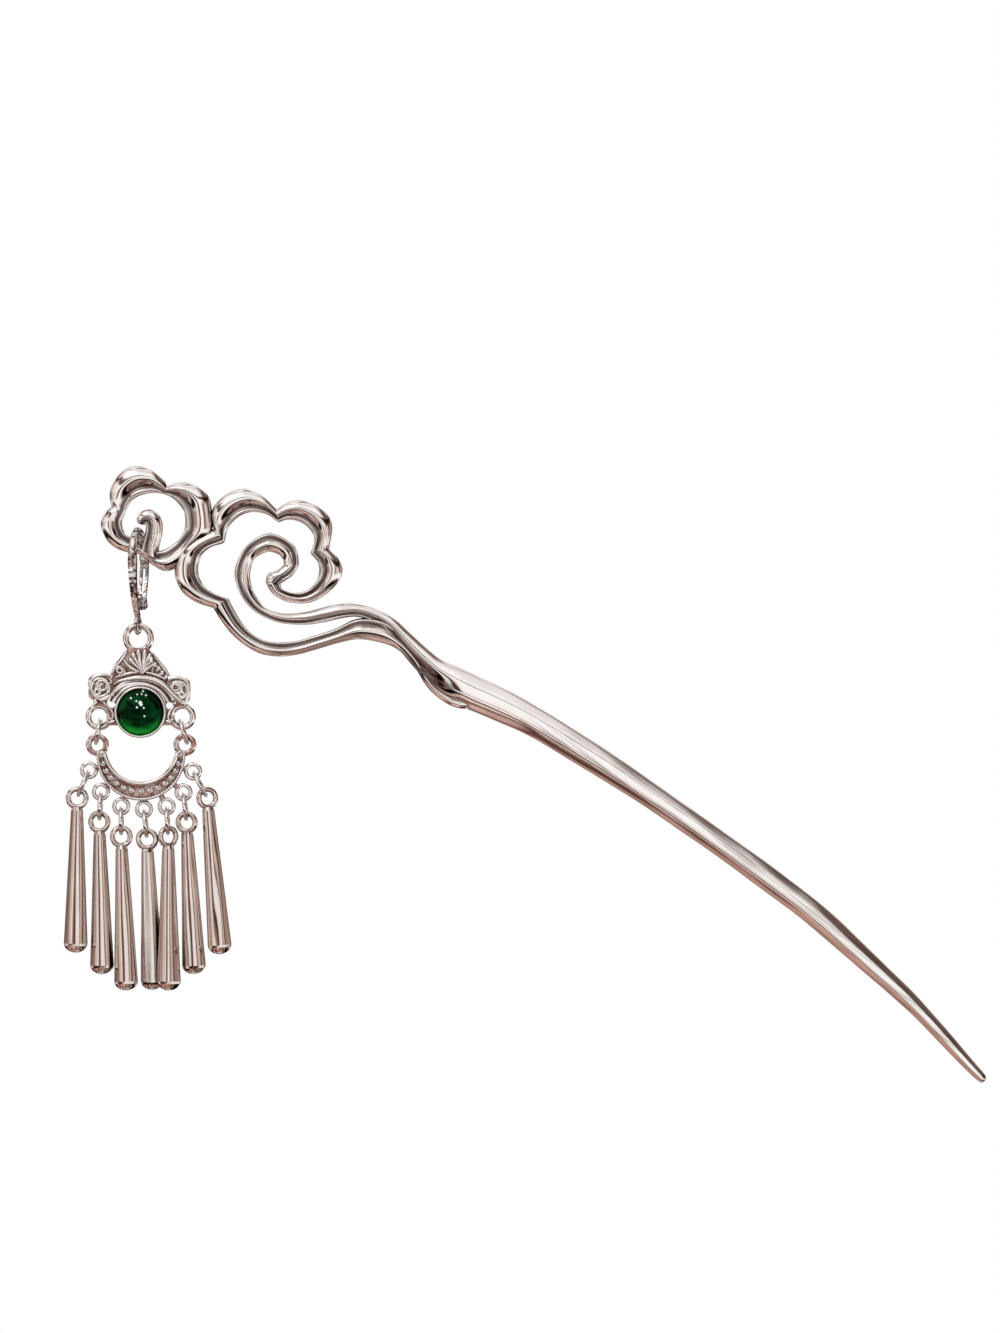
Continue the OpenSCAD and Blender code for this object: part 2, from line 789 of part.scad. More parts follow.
// A drop bar: a round club that widens downwards, with a flat ring eye on its neck
module drop_bar(index) {
    row = chains[index];
    down = [sin(row[2]), -cos(row[2])];
    eye = [row[0], row[1]] + chain_l * down;
    color(silver)
        tassel_place()
            translate([eye.x, 0, eye.y])
                rotate([row[4], -row[3], 0]) {
                    rotate([0, 0, row[5]])
                        facing_ring([0, 0], bar_eye_r, bar_eye_wire_r);
                    rotate_extrude()
                        polygon(bar_outline(bar_l + row[6]));
                }
}

pin();
clasp_hook();
clasp_lever();
finial();
cabochon();
side_link(0);  // side_link_left
side_link(1);  // side_link_right
crescent();
jump_ring(0);  // jump_ring_1
jump_ring(1);  // jump_ring_2
jump_ring(2);  // jump_ring_3
jump_ring(3);  // jump_ring_4
jump_ring(4);  // jump_ring_5
jump_ring(5);  // jump_ring_6
jump_ring(6);  // jump_ring_7
drop_bar(0);  // drop_bar_1
drop_bar(1);  // drop_bar_2
drop_bar(2);  // drop_bar_3
drop_bar(3);  // drop_bar_4
drop_bar(4);  // drop_bar_5
drop_bar(5);  // drop_bar_6
drop_bar(6);  // drop_bar_7
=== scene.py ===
"""Openwork cloud hairpin with a hanging tassel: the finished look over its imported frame.

Everything is made in metres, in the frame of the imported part.
"""

import math

import bmesh
import bpy
from bpy.props import FloatProperty, FloatVectorProperty, PointerProperty
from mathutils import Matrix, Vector, noise


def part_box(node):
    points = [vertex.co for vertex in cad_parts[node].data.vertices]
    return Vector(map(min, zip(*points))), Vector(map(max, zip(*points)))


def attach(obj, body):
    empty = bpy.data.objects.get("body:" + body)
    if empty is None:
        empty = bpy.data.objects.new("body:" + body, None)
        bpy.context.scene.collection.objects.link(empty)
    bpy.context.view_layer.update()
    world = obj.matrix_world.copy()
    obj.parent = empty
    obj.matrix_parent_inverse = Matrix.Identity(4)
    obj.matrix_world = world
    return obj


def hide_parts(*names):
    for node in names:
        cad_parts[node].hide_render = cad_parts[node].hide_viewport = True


bl_info = {
    "name": "Cloud hairpin with tassel",
    "version": (1, 0, 0),
    "blender": (4, 0, 0),
    "location": "View3D > Sidebar > Hairpin",
    "description": "Builds the polished casting, the pendant, the fringe and the studio",
    "category": "Object",
}

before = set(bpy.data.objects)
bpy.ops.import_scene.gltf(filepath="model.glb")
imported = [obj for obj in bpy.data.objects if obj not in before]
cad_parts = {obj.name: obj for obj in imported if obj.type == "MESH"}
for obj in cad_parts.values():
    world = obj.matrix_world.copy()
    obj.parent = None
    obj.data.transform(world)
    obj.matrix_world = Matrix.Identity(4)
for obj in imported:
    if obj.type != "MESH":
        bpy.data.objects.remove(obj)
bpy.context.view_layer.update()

MM = 0.001
LINK_NODES = ["side_link_left", "side_link_right"] + [f"jump_ring_{i}" for i in range(1, 8)]
BAR_NODES = [f"drop_bar_{i}" for i in range(1, 8)]


# Settings


class CastPinSettings(bpy.types.PropertyGroup):
    depth_ratio: FloatProperty(
        name="Depth ratio", description="Depth of a band for its width, before it levels off",
        default=0.756, min=0.6, max=0.9)
    depth_easing: FloatProperty(
        name="Depth easing", description="How much a band's depth levels off with its width",
        default=0.25, min=0.1, max=0.5)
    waviness: FloatProperty(
        name="Waviness", description="Height of the casting's slow waves",
        default=0.00009, min=0.0, max=0.0002, precision=5, unit="LENGTH")


class MetalSettings(bpy.types.PropertyGroup):
    silver: FloatVectorProperty(
        name="Silver", description="Bright colour of the plating",
        default=(0.96, 0.928, 0.908), subtype="COLOR", min=0.0, max=1.0)
    clasp: FloatVectorProperty(
        name="Clasp", description="Cooler bright colour of the clasp's hook",
        default=(0.93, 0.95, 0.97), subtype="COLOR", min=0.0, max=1.0)
    worn_silver: FloatVectorProperty(
        name="Worn silver", description="Warm colour where the plating is handled",
        default=(0.87, 0.81, 0.782), subtype="COLOR", min=0.0, max=1.0)
    bar_silver: FloatVectorProperty(
        name="Bar silver", description="Warmer plating of the drop bars",
        default=(0.74, 0.65, 0.6), subtype="COLOR", min=0.0, max=1.0)
    ground: FloatVectorProperty(
        name="Ground", description="Rosy colour of the relief's sunk ground",
        default=(0.46, 0.205, 0.16), subtype="COLOR", min=0.0, max=1.0)
    cast_back: FloatVectorProperty(
        name="Cast back", description="Colour of the plain backs as they were cast",
        default=(0.56, 0.51, 0.49), subtype="COLOR", min=0.0, max=1.0)
    # The lever is plated like the hook; its darker colour is painted shade.
    lever: FloatVectorProperty(
        name="Lever", description="Duller colour of the clasp's lever",
        default=(0.66, 0.62, 0.6), subtype="COLOR", min=0.0, max=1.0)
    # The recess colour is where the painted shade darkens to: in recesses, in the marked valleys and where
    # the form turns away from the eye. It is also the colour of the clasp's pits.
    recess: FloatVectorProperty(
        name="Recess", description="Colour of the tarnish in the recesses",
        default=(0.085, 0.036, 0.026), subtype="COLOR", min=0.0, max=1.0)
    roughness: FloatProperty(
        name="Roughness", description="Roughness of the polished metal",
        default=0.05, min=0.02, max=0.5, subtype="FACTOR")


class StoneSettings(bpy.types.PropertyGroup):
    deep_green: FloatVectorProperty(
        name="Deep green", description="Colour in the middle of the stone",
        default=(0.0003, 0.0045, 0.0018), subtype="COLOR", min=0.0, max=1.0)
    mid_green: FloatVectorProperty(
        name="Middle green", description="Colour of the stone's upper part",
        default=(0.002, 0.044, 0.009), subtype="COLOR", min=0.0, max=1.0)
    glow_green: FloatVectorProperty(
        name="Glowing green", description="Colour where light gathers at the lower edge",
        default=(0.01, 0.36, 0.028), subtype="COLOR", min=0.0, max=1.0)
    # The colour of the painted glints, which stand in for reflections of lamps.
    glint_colour: FloatVectorProperty(
        name="Sparkle", description="Colour of the small sparkles",
        default=(0.85, 1.0, 0.92), subtype="COLOR", min=0.0, max=1.0)


class StudioSettings(bpy.types.PropertyGroup):
    floor_height: FloatProperty(
        name="Floor height", description="Height of the floor under the hanging pin",
        default=-0.135, unit="LENGTH")
    floor_colour: FloatVectorProperty(
        name="Floor colour", description="Colour of the pale floor",
        default=(0.93, 0.93, 0.93), subtype="COLOR", min=0.0, max=1.0)
    lens: FloatProperty(
        name="Lens", description="Focal length of the camera", default=200.0, unit="CAMERA")
    view_height: FloatProperty(
        name="View height", description="Height of the view at the pin",
        default=0.2293, unit="LENGTH")
    world_strength: FloatProperty(
        name="Room light", description="Strength of the room's soft light",
        default=1.0, min=0.0, max=5.0)


class HairpinSettings(bpy.types.PropertyGroup):
    cast_pin: PointerProperty(type=CastPinSettings)
    metal: PointerProperty(type=MetalSettings)
    stone: PointerProperty(type=StoneSettings)
    studio: PointerProperty(type=StudioSettings)


# Materials


def new_material(name):
    """A material with its node tree, its shader, and the place in the part's frame."""
    material = bpy.data.materials.new(name)
    material.use_nodes = True
    tree = material.node_tree
    tree.nodes.clear()
    output = tree.nodes.new("ShaderNodeOutputMaterial")
    shader = tree.nodes.new("ShaderNodeBsdfPrincipled")
    tree.links.new(shader.outputs["BSDF"], output.inputs["Surface"])
    place = tree.nodes.new("ShaderNodeTexCoord").outputs["Object"]
    return material, tree, shader, place


def fill(tree, node, values):
    """Gives inputs of a node their values, each a socket of another node or a constant."""
    for key, value in values.items():
        if isinstance(value, bpy.types.NodeSocket):
            tree.links.new(value, node.inputs[key])
        elif value is not None:
            node.inputs[key].default_value = value
    return node.outputs


def add_node(tree, kind, values):
    return fill(tree, tree.nodes.new(kind), values)


def add_noise(tree, coordinates, scale, detail=3.0, roughness=0.5, distortion=0.0):
    return add_node(tree, "ShaderNodeTexNoise", {
        "Vector": coordinates, "Scale": scale, "Detail": detail, "Roughness": roughness,
        "Distortion": distortion})["Fac"]


def add_range(tree, value, from_low, from_high, to_low=0.0, to_high=1.0):
    return add_node(tree, "ShaderNodeMapRange", {
        "Value": value, "From Min": from_low, "From Max": from_high, "To Min": to_low,
        "To Max": to_high})["Result"]


def add_mix(tree, factor, low, high):
    """Mixes two colours, each a socket or a plain colour."""
    node = tree.nodes.new("ShaderNodeMix")
    node.data_type = "RGBA"
    sockets = [s for s in node.inputs if s.type == "RGBA"]
    for socket, colour in zip(sockets, (low, high)):
        if isinstance(colour, bpy.types.NodeSocket):
            tree.links.new(colour, socket)
        else:
            socket.default_value = (*colour, 1.0)
    tree.links.new(factor, node.inputs[0])
    return next(s for s in node.outputs if s.type == "RGBA")


def add_step(tree, kind, operation, values):
    """One step of arithmetic with values that are sockets or constants."""
    node = tree.nodes.new(kind)
    node.operation = operation
    return fill(tree, node, dict(enumerate(values)))


def add_math(tree, operation, first, second=None):
    return add_step(tree, "ShaderNodeMath", operation, (first, second))[0]


def add_vector(tree, operation, first, second=None, result="Vector"):
    return add_step(tree, "ShaderNodeVectorMath", operation, (first, second))[result]


def split_place(tree, place):
    """The x, y and z of a place."""
    return add_node(tree, "ShaderNodeSeparateXYZ", {0: place})


def add_bump(tree, shader, height, distance, before=None):
    """Raises the shader's surface by the height, on top of the bumps before."""
    bump = add_node(tree, "ShaderNodeBump", {
        "Strength": 1.0, "Distance": distance, "Height": height, "Normal": before})["Normal"]
    fill(tree, shader, {"Normal": bump})
    return bump


# The stem's direction in x and z, and where its polishing lines begin and are in full, in metres
STEM_RUN = (0.796, -0.605)
STREAKS_BEGIN = -0.042
STREAKS_IN_FULL = -0.03
# Cells a metre of the polishing lines: along the stem, through it and across it
STREAK_CELLS = (45.0, 900.0, 1300.0)
STREAK_HEIGHT = 0.00001
# Cells a metre of the bars' slow waves in x, y and z, and the waves' height
BAR_WAVE_CELLS = (380.0, 380.0, 22.0)
BAR_WAVE_HEIGHT = 0.0006
# Cells a metre of the layers of noise on the plating, and the heights of its bumps in metres
PATCH_CELLS = 240.0
SCUFF_CELLS = 1900.0
WAVE_CELLS = 420.0
WAVE_HEIGHT = 0.00001
GRAIN_CELLS = 5200.0
GRAIN_HEIGHT = 0.0000012
GROUND_CELLS = 800.0
VALLEY_CELLS = 300.0
BACK_CELLS = 500.0
BACK_PIT_CELLS = 380.0
BACK_PIT_HEIGHT = 0.0004


def add_streaks(tree, place):
    """Fine lengthwise lines of polishing along the stem."""
    x, y, z = split_place(tree, place)
    run_x, run_z = STEM_RUN
    along = add_math(
        tree, "ADD", add_math(tree, "MULTIPLY", x, run_x), add_math(tree, "MULTIPLY", z, run_z))
    across = add_math(
        tree, "SUBTRACT", add_math(tree, "MULTIPLY", z, run_x), add_math(tree, "MULTIPLY", x, run_z))
    turned = add_node(tree, "ShaderNodeCombineXYZ", {0: along, 1: y, 2: across})[0]
    lines = add_noise(tree, add_vector(tree, "MULTIPLY", turned, STREAK_CELLS), 1.0, 3.0, 0.6)
    begun = add_range(tree, x, STREAKS_BEGIN, STREAKS_IN_FULL)
    return add_math(tree, "MULTIPLY", lines, begun)


def add_length_waves(tree, place, shader):
    """Slow waves that run down the bars, so that no two of them mirror quite alike."""
    waves = add_noise(tree, add_vector(tree, "MULTIPLY", place, BAR_WAVE_CELLS), 1.0, 1.0, 0.4)
    return add_bump(tree, shader, waves, BAR_WAVE_HEIGHT)


def add_ground(tree, place, floor):
    """Where the sunk ground of a relief lies, with uneven tarnish."""
    depth = split_place(tree, place)["Y"]
    sunk = add_math(
        tree, "MULTIPLY", add_range(tree, depth, *floor[:2]),
        add_range(tree, depth, *floor[2:], 1.0, 0.0))
    uneven = add_range(tree, add_noise(tree, place, GROUND_CELLS, 3.0), 0.38, 0.62, 0.3, 1.0)
    return add_math(tree, "MULTIPLY", sunk, uneven)


def add_recesses(tree, reach, darkest):
    """Painted shade where the form closes in within the reach."""
    hollow = tree.nodes.new("ShaderNodeAmbientOcclusion")
    hollow.samples = 8
    hollow.inputs["Distance"].default_value = reach
    return add_range(tree, hollow.outputs["AO"], 0.4, 0.97, darkest, 0.0)


def add_valleys(tree, place, shade):
    """Adds the painted shade of the bands' marked valleys, made uneven by noise."""
    marked = tree.nodes.new("ShaderNodeAttribute")
    marked.attribute_name = "sunk"
    patchy = add_range(tree, add_noise(tree, place, VALLEY_CELLS, 3.0), 0.3, 0.6, 0.8, 1.0)
    return add_math(tree, "MAXIMUM", shade, add_math(tree, "MULTIPLY", marked.outputs["Fac"], patchy))


def add_outline(tree, shade):
    """Adds painted shade where the form turns away from the eye."""
    facing = add_node(tree, "ShaderNodeLayerWeight", {"Blend": 0.5})["Facing"]
    turned = add_range(tree, facing, 0.58, 0.86, 0.0, 0.9)
    return add_math(tree, "MAXIMUM", shade, turned)


def plated_silver(name, settings, recess_reach, wave=WAVE_HEIGHT, darkest=1.0, floor=None,
                  streaks=False, valleys=False, back=None, outlined=True, bright=None, bars=False):
    """Polished plating with slow cast waves, fine scuffs, and painted shade where the form closes in.

    floor gives four depths: the relief's ground turns from polished to tarnished between the first
    two, and back to polished between the last two. streaks adds the stem's polishing lines. valleys
    paints shade into the bands' marked valleys. back gives the depth of a plain back that stays as it
    was cast. outlined paints shade where the form turns away from the eye. bright stands in for the
    plating's own colour. bars adds the slow waves of the drop bars.
    """
    material, tree, shader, place = new_material(name)
    patches = add_range(tree, add_noise(tree, place, PATCH_CELLS, 4.0, 0.55), 0.35, 0.7, 0.0, 0.6)
    colour = add_mix(tree, patches, bright or settings.silver, settings.worn_silver)
    if streaks:
        lines = add_streaks(tree, place)
        colour = add_mix(tree, add_range(tree, lines, 0.5, 0.62, 0.0, 0.85), colour, settings.cast_back)
    base = settings.roughness
    scuffs = add_range(
        tree, add_noise(tree, place, SCUFF_CELLS, 5.0, 0.7, 0.6), 0.3, 0.75, base * 0.6, base * 1.9)
    if floor:
        ground = add_ground(tree, place, floor)
        colour = add_mix(tree, ground, colour, settings.ground)
        scuffs = add_math(tree, "ADD", scuffs, add_math(tree, "MULTIPLY", ground, 0.2))
    # Painted shade: darker where the form closes in, in the marked valleys, and where the form turns away
    # from the eye.
    shade = add_recesses(tree, recess_reach, darkest)
    if valleys:
        shade = add_valleys(tree, place, shade)
    if outlined:
        shade = add_outline(tree, shade)
    if back is not None:
        depth = split_place(tree, place)["Y"]
        behind = add_range(tree, depth, back - 0.0002, back - 0.00005)
        dulled = add_range(tree, add_noise(tree, place, BACK_CELLS, 4.0, 0.6), 0.3, 0.7, 0.6, 1.0)
        colour = add_mix(tree, add_math(tree, "MULTIPLY", behind, dulled), colour, settings.cast_back)
        scuffs = add_math(tree, "ADD", scuffs, add_math(tree, "MULTIPLY", behind, 0.24))
    colour = add_mix(tree, shade, colour, settings.recess)
    fill(tree, shader, {"Base Color": colour, "Metallic": 1.0, "Roughness": scuffs})
    bumps = add_length_waves(tree, place, shader) if bars else None
    bumps = add_bump(tree, shader, add_noise(tree, place, WAVE_CELLS, 2.0, 0.45), wave, before=bumps)
    if streaks:
        bumps = add_bump(tree, shader, lines, STREAK_HEIGHT, before=bumps)
    if back is not None:
        pits = add_math(tree, "MULTIPLY", behind, add_noise(tree, place, BACK_PIT_CELLS, 5.0, 0.6))
        bumps = add_bump(tree, shader, pits, BACK_PIT_HEIGHT, before=bumps)
    grain = add_noise(tree, place, GRAIN_CELLS, 4.0, 0.6)
    add_bump(tree, shader, grain, GRAIN_HEIGHT, before=bumps)
    return material


# Cells a metre of the clasp's dimples, worn patches, pits and fine grain, and the dimples' depth
DIMPLE_CELLS = 1150.0
CLASP_PATCH_CELLS = 900.0
PIT_CELLS = 1500.0
CLASP_GRAIN_CELLS = 4200.0
DIMPLE_DEPTH = 0.00008
CLASP_GRAIN_HEIGHT = 0.000008


def hammered_silver(name, settings, bright, patchy):
    """Plating with small hammered dimples and dark pits, for the clasp."""
    material, tree, shader, place = new_material(name)
    cells = add_node(tree, "ShaderNodeTexVoronoi", {"Scale": DIMPLE_CELLS, "Vector": place})
    patches = add_noise(tree, place, CLASP_PATCH_CELLS, 3.0)
    pits = add_range(tree, add_noise(tree, place, PIT_CELLS, 2.0, 0.6), 0.55, 0.6, 0.0, 0.95)
    plated = add_mix(tree, patches, bright, patchy)
    # The pits are the clasp's own dark; painted shade darkens it further where the form turns away from the
    # eye.
    colour = add_mix(tree, add_outline(tree, pits), plated, settings.recess)
    scuffs = add_range(tree, patches, 0.3, 0.7, 0.1, 0.24)
    fill(tree, shader, {"Base Color": colour, "Metallic": 1.0, "Roughness": scuffs})
    dimples = add_bump(tree, shader, cells["Distance"], DIMPLE_DEPTH)
    grain = add_noise(tree, place, CLASP_GRAIN_CELLS, 3.0)
    add_bump(tree, shader, grain, CLASP_GRAIN_HEIGHT, before=dimples)
    return material


# Painted glints of the stone, white spots that stand in for reflections of lamps: x, z from its middle and
# radius, in millimetres
PAINTED_GLINTS = [
    (0.1, 1.62, 0.4), (0.25, 1.3, 0.34), (-0.58, 1.9, 0.2), (-0.47, 0.82, 0.22), (0.71, 0.72, 0.2),
    (-1.55, 2.43, 0.22), (0.5, 3.6, 0.22), (-0.47, 3.05, 0.18), (0.28, 3.1, 0.18), (1.03, 2.9, 0.2),
    (0.82, -0.69, 0.2)]
# Cells a metre of the glass: its clouds near the edge, its darker patches, scuffs and slow waves
GLASS_CLOUD_CELLS = 620.0
GLASS_PATCH_CELLS = 420.0
GLASS_SCUFF_CELLS = 2600.0
GLASS_WAVE_CELLS = 900.0
GLASS_WAVE_HEIGHT = 0.000006
# The tint of the glass's own shine
GLASS_SHINE = (0.12, 0.8, 0.3, 1.0)


def green_glass(settings, centre, radius):
    """Deep green glass: dark in the middle, with painted light gathered along the lower edge and painted
    glints.
    """
    material, tree, shader, place = new_material("green_glass")
    local = add_vector(tree, "SUBTRACT", place, centre)
    height = split_place(tree, local)["Z"]
    flat = add_vector(tree, "MULTIPLY", local, (1.0, 0.0, 1.0))

    def away_from(x, z):
        return add_vector(tree, "DISTANCE", flat, (x, 0.0, z), "Value")

    far = away_from(0.0, 0.0)
    edge = add_range(tree, far, 0.6 * radius, 0.9 * radius)
    low = add_range(tree, height, -0.25 * radius, -0.8 * radius)
    cloudy = add_range(tree, add_noise(tree, place, GLASS_CLOUD_CELLS, 4.0, 0.6), 0.3, 0.7, 0.45, 1.0)
    gathered = add_math(tree, "MULTIPLY", add_math(tree, "MULTIPLY", edge, low), cloudy)
    ring = add_range(tree, far, 0.2 * radius, 0.7 * radius, 0.15, 1.0)
    patches = add_range(tree, add_noise(tree, place, GLASS_PATCH_CELLS, 3.0, 0.6, 0.8), 0.45, 0.6)
    body = add_mix(
        tree, add_math(tree, "MULTIPLY", ring, patches), settings.deep_green, settings.mid_green)
    colour = add_mix(tree, gathered, body, settings.glow_green)
    glint_mask = 0.0
    # Each painted glint is a white spot standing in for a lamp's reflection.
    for x, z, size in PAINTED_GLINTS:
        spot = add_range(tree, away_from(MM * x, MM * z), 0.4 * MM * size, MM * size, 1.0, 0.0)
        glint_mask = add_math(tree, "MAXIMUM", spot, glint_mask)
    colour = add_mix(tree, glint_mask, colour, settings.glint_colour)
    scuffs = add_range(tree, add_noise(tree, place, GLASS_SCUFF_CELLS, 3.0), 0.3, 0.7, 0.04, 0.12)
    fill(tree, shader, {
        "Base Color": colour, "Roughness": scuffs, "Specular IOR Level": 0.14,
        "Specular Tint": GLASS_SHINE})
    add_bump(tree, shader, add_noise(tree, place, GLASS_WAVE_CELLS, 2.0), GLASS_WAVE_HEIGHT)
    return material


def dress(node, material):
    """Gives a CAD node a better material in its own slots."""
    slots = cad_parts[node].material_slots
    if not slots:
        raise RuntimeError(f"{node} has no material slot")
    for slot in slots:
        slot.material = material


# The casting

# One table a band, in millimetres: x, z of the middle, width, and the direction in degrees from
# the middle to the outer rim.
LOWER_STRAND = [
    (-38.4, 21.3, 1.2, -112), (-41.1, 21.6, 1.7, -115), (-43.5, 22.7, 1.8, -128), (-46.3, 25.1, 1.7, -139),
    (-49, 29.4, 2, -136), (-51.9, 32.4, 2.7, -124), (-55, 34.1, 3.8, -104), (-58.8, 34.5, 3.6, -87),
    (-62.5, 33.3, 2.5, -78), (-66, 32.2, 2.4, -78), (-69.2, 31.3, 2.5, -86), (-72.3, 31, 2.6, -94),
    (-75.3, 31.5, 2.6, -101), (-77.8, 32.9, 2.6, -112), (-79.8, 34.8, 2.8, -125), (-81.3, 37, 3, -135),
    (-82.4, 39, 3.2, -146)]
LEFT_LOBE = [
    (-82.4, 39, 3.2, -146), (-85.1, 40, 3.7, -152), (-87.3, 41.7, 4, -161), (-88.3, 44.1, 4.1, -170),
    (-87.9, 47, 4.2, -182), (-85.8, 49.1, 3.7, -196), (-82.7, 50.5, 3, -231)]
UPPER_LEFT_LOBE = [
    (-82.7, 50.5, 3, -231), (-82.7, 52.9, 4.1, -229), (-81.6, 54.7, 4.4, -234), (-79.7, 56.1, 4.5, -245),
    (-77.3, 56.6, 4.3, -254), (-74.7, 55.8, 3.5, -259), (-72.6, 54, 2.4, -265)]
UPPER_RIGHT_LOBE = [
    (-72.6, 54, 2.4, -265), (-70.9, 54.8, 3, -270), (-68.4, 54.8, 3.8, -283), (-66.1, 53.5, 4.2, -301),
    (-64.8, 51.2, 4.1, -318), (-65.4, 47.9, 3.4, -344)]
LOWER_RIGHT_LOBE = [
    (-65.4, 47.9, 3.4, -344), (-64.1, 46.5, 3.7, -352), (-63.5, 44.7, 4, -359), (-64.1, 42.7, 3.8, -363),
    (-65.7, 41, 3.2, -375), (-68, 39.9, 2.7, -398), (-70.5, 40, 2.2, -431), (-72.5, 40.9, 1.8, -481),
    (-73.5, 42.4, 2.5, -548)]
CURL_AND_UPPER_STRAND = [
    (-73.5, 42.4, 2.5, -548), (-72.8, 43.4, 3.2, -561), (-71.3, 44.3, 3.1, -550), (-70.3, 45.9, 2.7, -534),
    (-71.2, 48.2, 3.1, -498), (-74.2, 49.4, 3.3, -453), (-77.4, 47.6, 2.6, -406), (-78.7, 44.4, 2.7, -364),
    (-78.3, 41.6, 2.5, -356), (-77.1, 39.4, 2.3, -349), (-75.2, 37.6, 1.9, -333), (-72, 36.4, 1.9, -297),
    (-68.1, 36.3, 2.3, -278), (-64.5, 37, 2.7, -277), (-61.6, 37.6, 2.6, -278), (-58.7, 37.7, 2.4, -291),
    (-56, 36.9, 2.4, -298), (-53.3, 35.3, 2.6, -305), (-51, 32.7, 3.5, -311), (-48.2, 29.7, 4.1, -311),
    (-45.5, 27.3, 4.6, -300), (-42.5, 25.3, 5.8, -290), (-38.9, 23.5, 6.0, -290)]
STEM = [
    (-38.9, 23.5, 6.0, -290), (-35.3, 21.9, 5.9, -289), (-28.3, 18.4, 5.2, -292), (-18.4, 12.4, 4.9, -296),
    (-7.4, 5.1, 4.3, -299), (4.4, -3.1, 4.2, -304), (18.5, -13.6, 4.2, -308), (28.2, -22.2, 3.6, -312),
    (37.2, -30.6, 2.8, -316), (46.2, -40.4, 2, -319), (48.4, -42.7, 1.6, -320), (48.9, -43.3, 0.9, -320)]
# The small ring round its own centre: direction, radius of the rim, radius of the hole
RING_CENTRE = (-93.8, 53.0)
RING_RIGHT = [
    (70, 6.5, 4.95), (57, 8, 5), (43, 9.4, 5.05), (27, 10.2, 5.15), (12, 10, 5.25), (-12, 9.9, 5.25),
    (-38, 8.1, 5.15), (-62, 8.7, 5.05), (-77, 8.8, 5.1), (-92, 7.6, 5.1), (-104, 6.6, 4.8), (-117, 6.3, 4.2)]
RING_LEFT = [
    (-117, 6.3, 4.2), (-131, 7.1, 3.9), (-145, 8.1, 4.7), (-160, 8.9, 5.4), (-177, 9.3, 5.6),
    (-190, 8.6, 5.35), (-199, 7.8, 5.25)]
RING_TOP = [
    (-199, 7.8, 5.25), (-212, 9.1, 5.25), (-228, 10, 5.25), (-246, 10.3, 5), (-264, 9.3, 4.9),
    (-279, 7.7, 4.9), (-290, 6.5, 4.95)]
COMMA_CURL = [
    (-96.3, 52.5, 0.8, 160), (-96.15, 53.0, 1.9, 140), (-95.6, 53.6, 2.5, 108), (-94.75, 53.7, 2.9, 70),
    (-94.0, 52.9, 3.0, 30), (-93.9, 51.5, 3.0, -2), (-94.2, 50.0, 3.0, -20), (-94.5, 48.6, 3.2, -25),
    (-94.5, 46.9, 4, -22)]
# Half of a band's section from the outer rim to the inner rim: across, height. In the clouds the
# outer slope is broad, and a low second ridge runs along the inner rim. The stem has an upper
# facet, a level middle and a steep lower slope.
CLOUD_SECTION = [
    (1.0, 0.0), (0.98, 0.25), (0.9, 0.5), (0.68, 0.76), (0.36, 0.95), (0.16, 1.0), (-0.04, 0.91),
    (-0.28, 0.63), (-0.44, 0.46), (-0.56, 0.5), (-0.7, 0.7), (-0.84, 0.66), (-0.96, 0.36), (-1.0, 0.0)]
STEM_SECTION = [
    (1.0, 0.0), (0.98, 0.24), (0.92, 0.42), (0.68, 0.64), (0.42, 0.86), (0.3, 0.93), (0.1, 0.965),
    (-0.14, 1.0), (-0.34, 0.98), (-0.46, 0.89), (-0.65, 0.66), (-0.82, 0.42), (-0.95, 0.2), (-1.0, 0.0)]
# Where along the pin the one section passes into the other, in millimetres
CLOUDS_END = -47.0
STEM_BEGINS = -41.0
# The painted shade in the valley between a band's two ridges: where it lies across the band, and its
# reach, in shares of half the band's width
VALLEY_AT = -0.46
VALLEY_REACH = 0.18
# The painted shadow at the twist of the strands: where along the pin it is darkest and how far it
# reaches, in millimetres, and how much wider and darker the valley's painted shade is there
TWIST_AT = -46.5
TWIST_LENGTH = 6.5
TWIST_REACH = 0.2
TWIST_DARKENING = 1.5
# How many rows stand for one row of a table, in the clouds and in the strands
CLOUD_STEPS = 6
STRAND_STEPS = 8
# Cells a metre of the casting's slow and quick waves, and the share of the quick ones
SLOW_WAVE_CELLS = 150.0
QUICK_WAVE_CELLS = 520.0
QUICK_WAVE_SHARE = 0.06


def smooth_rows(rows, steps):
    """Rows between the rows of a table, on a smooth curve through all of them."""
    made = []
    for i in range(len(rows) - 1):
        here, there = rows[i], rows[i + 1]
        before = rows[i - 1] if i else [2 * a - b for a, b in zip(here, there)]
        after = rows[i + 2] if i + 2 < len(rows) else [2 * b - a for a, b in zip(here, there)]
        for s in range(steps):
            t = s / steps
            made.append([
                0.5 * (2 * b + (c - a) * t + (2 * a - 5 * b + 4 * c - d) * t * t
                       + (3 * b - a - 3 * c + d) * t ** 3)
                for a, b, c, d in zip(before, here, there, after)])
    made.append(list(rows[-1]))
    return made


SMOOTH_CLOUD_SECTION = smooth_rows(CLOUD_SECTION, 2)
SMOOTH_STEM_SECTION = smooth_rows(STEM_SECTION, 2)


def joined(tables, steps):
    """Smooth rows of tables that meet end to end, each meeting row only once."""
    rows = []
    for table in tables:
        rows = rows[:-1] + smooth_rows(table, steps)
    return rows


def ring_rows(table):
    """Rows of a band from a table of the ring."""
    return [
        (RING_CENTRE[0] + (rim + hole) / 2 * math.cos(math.radians(angle)),
         RING_CENTRE[1] + (rim + hole) / 2 * math.sin(math.radians(angle)),
         rim - hole, angle)
        for angle, rim, hole in table]


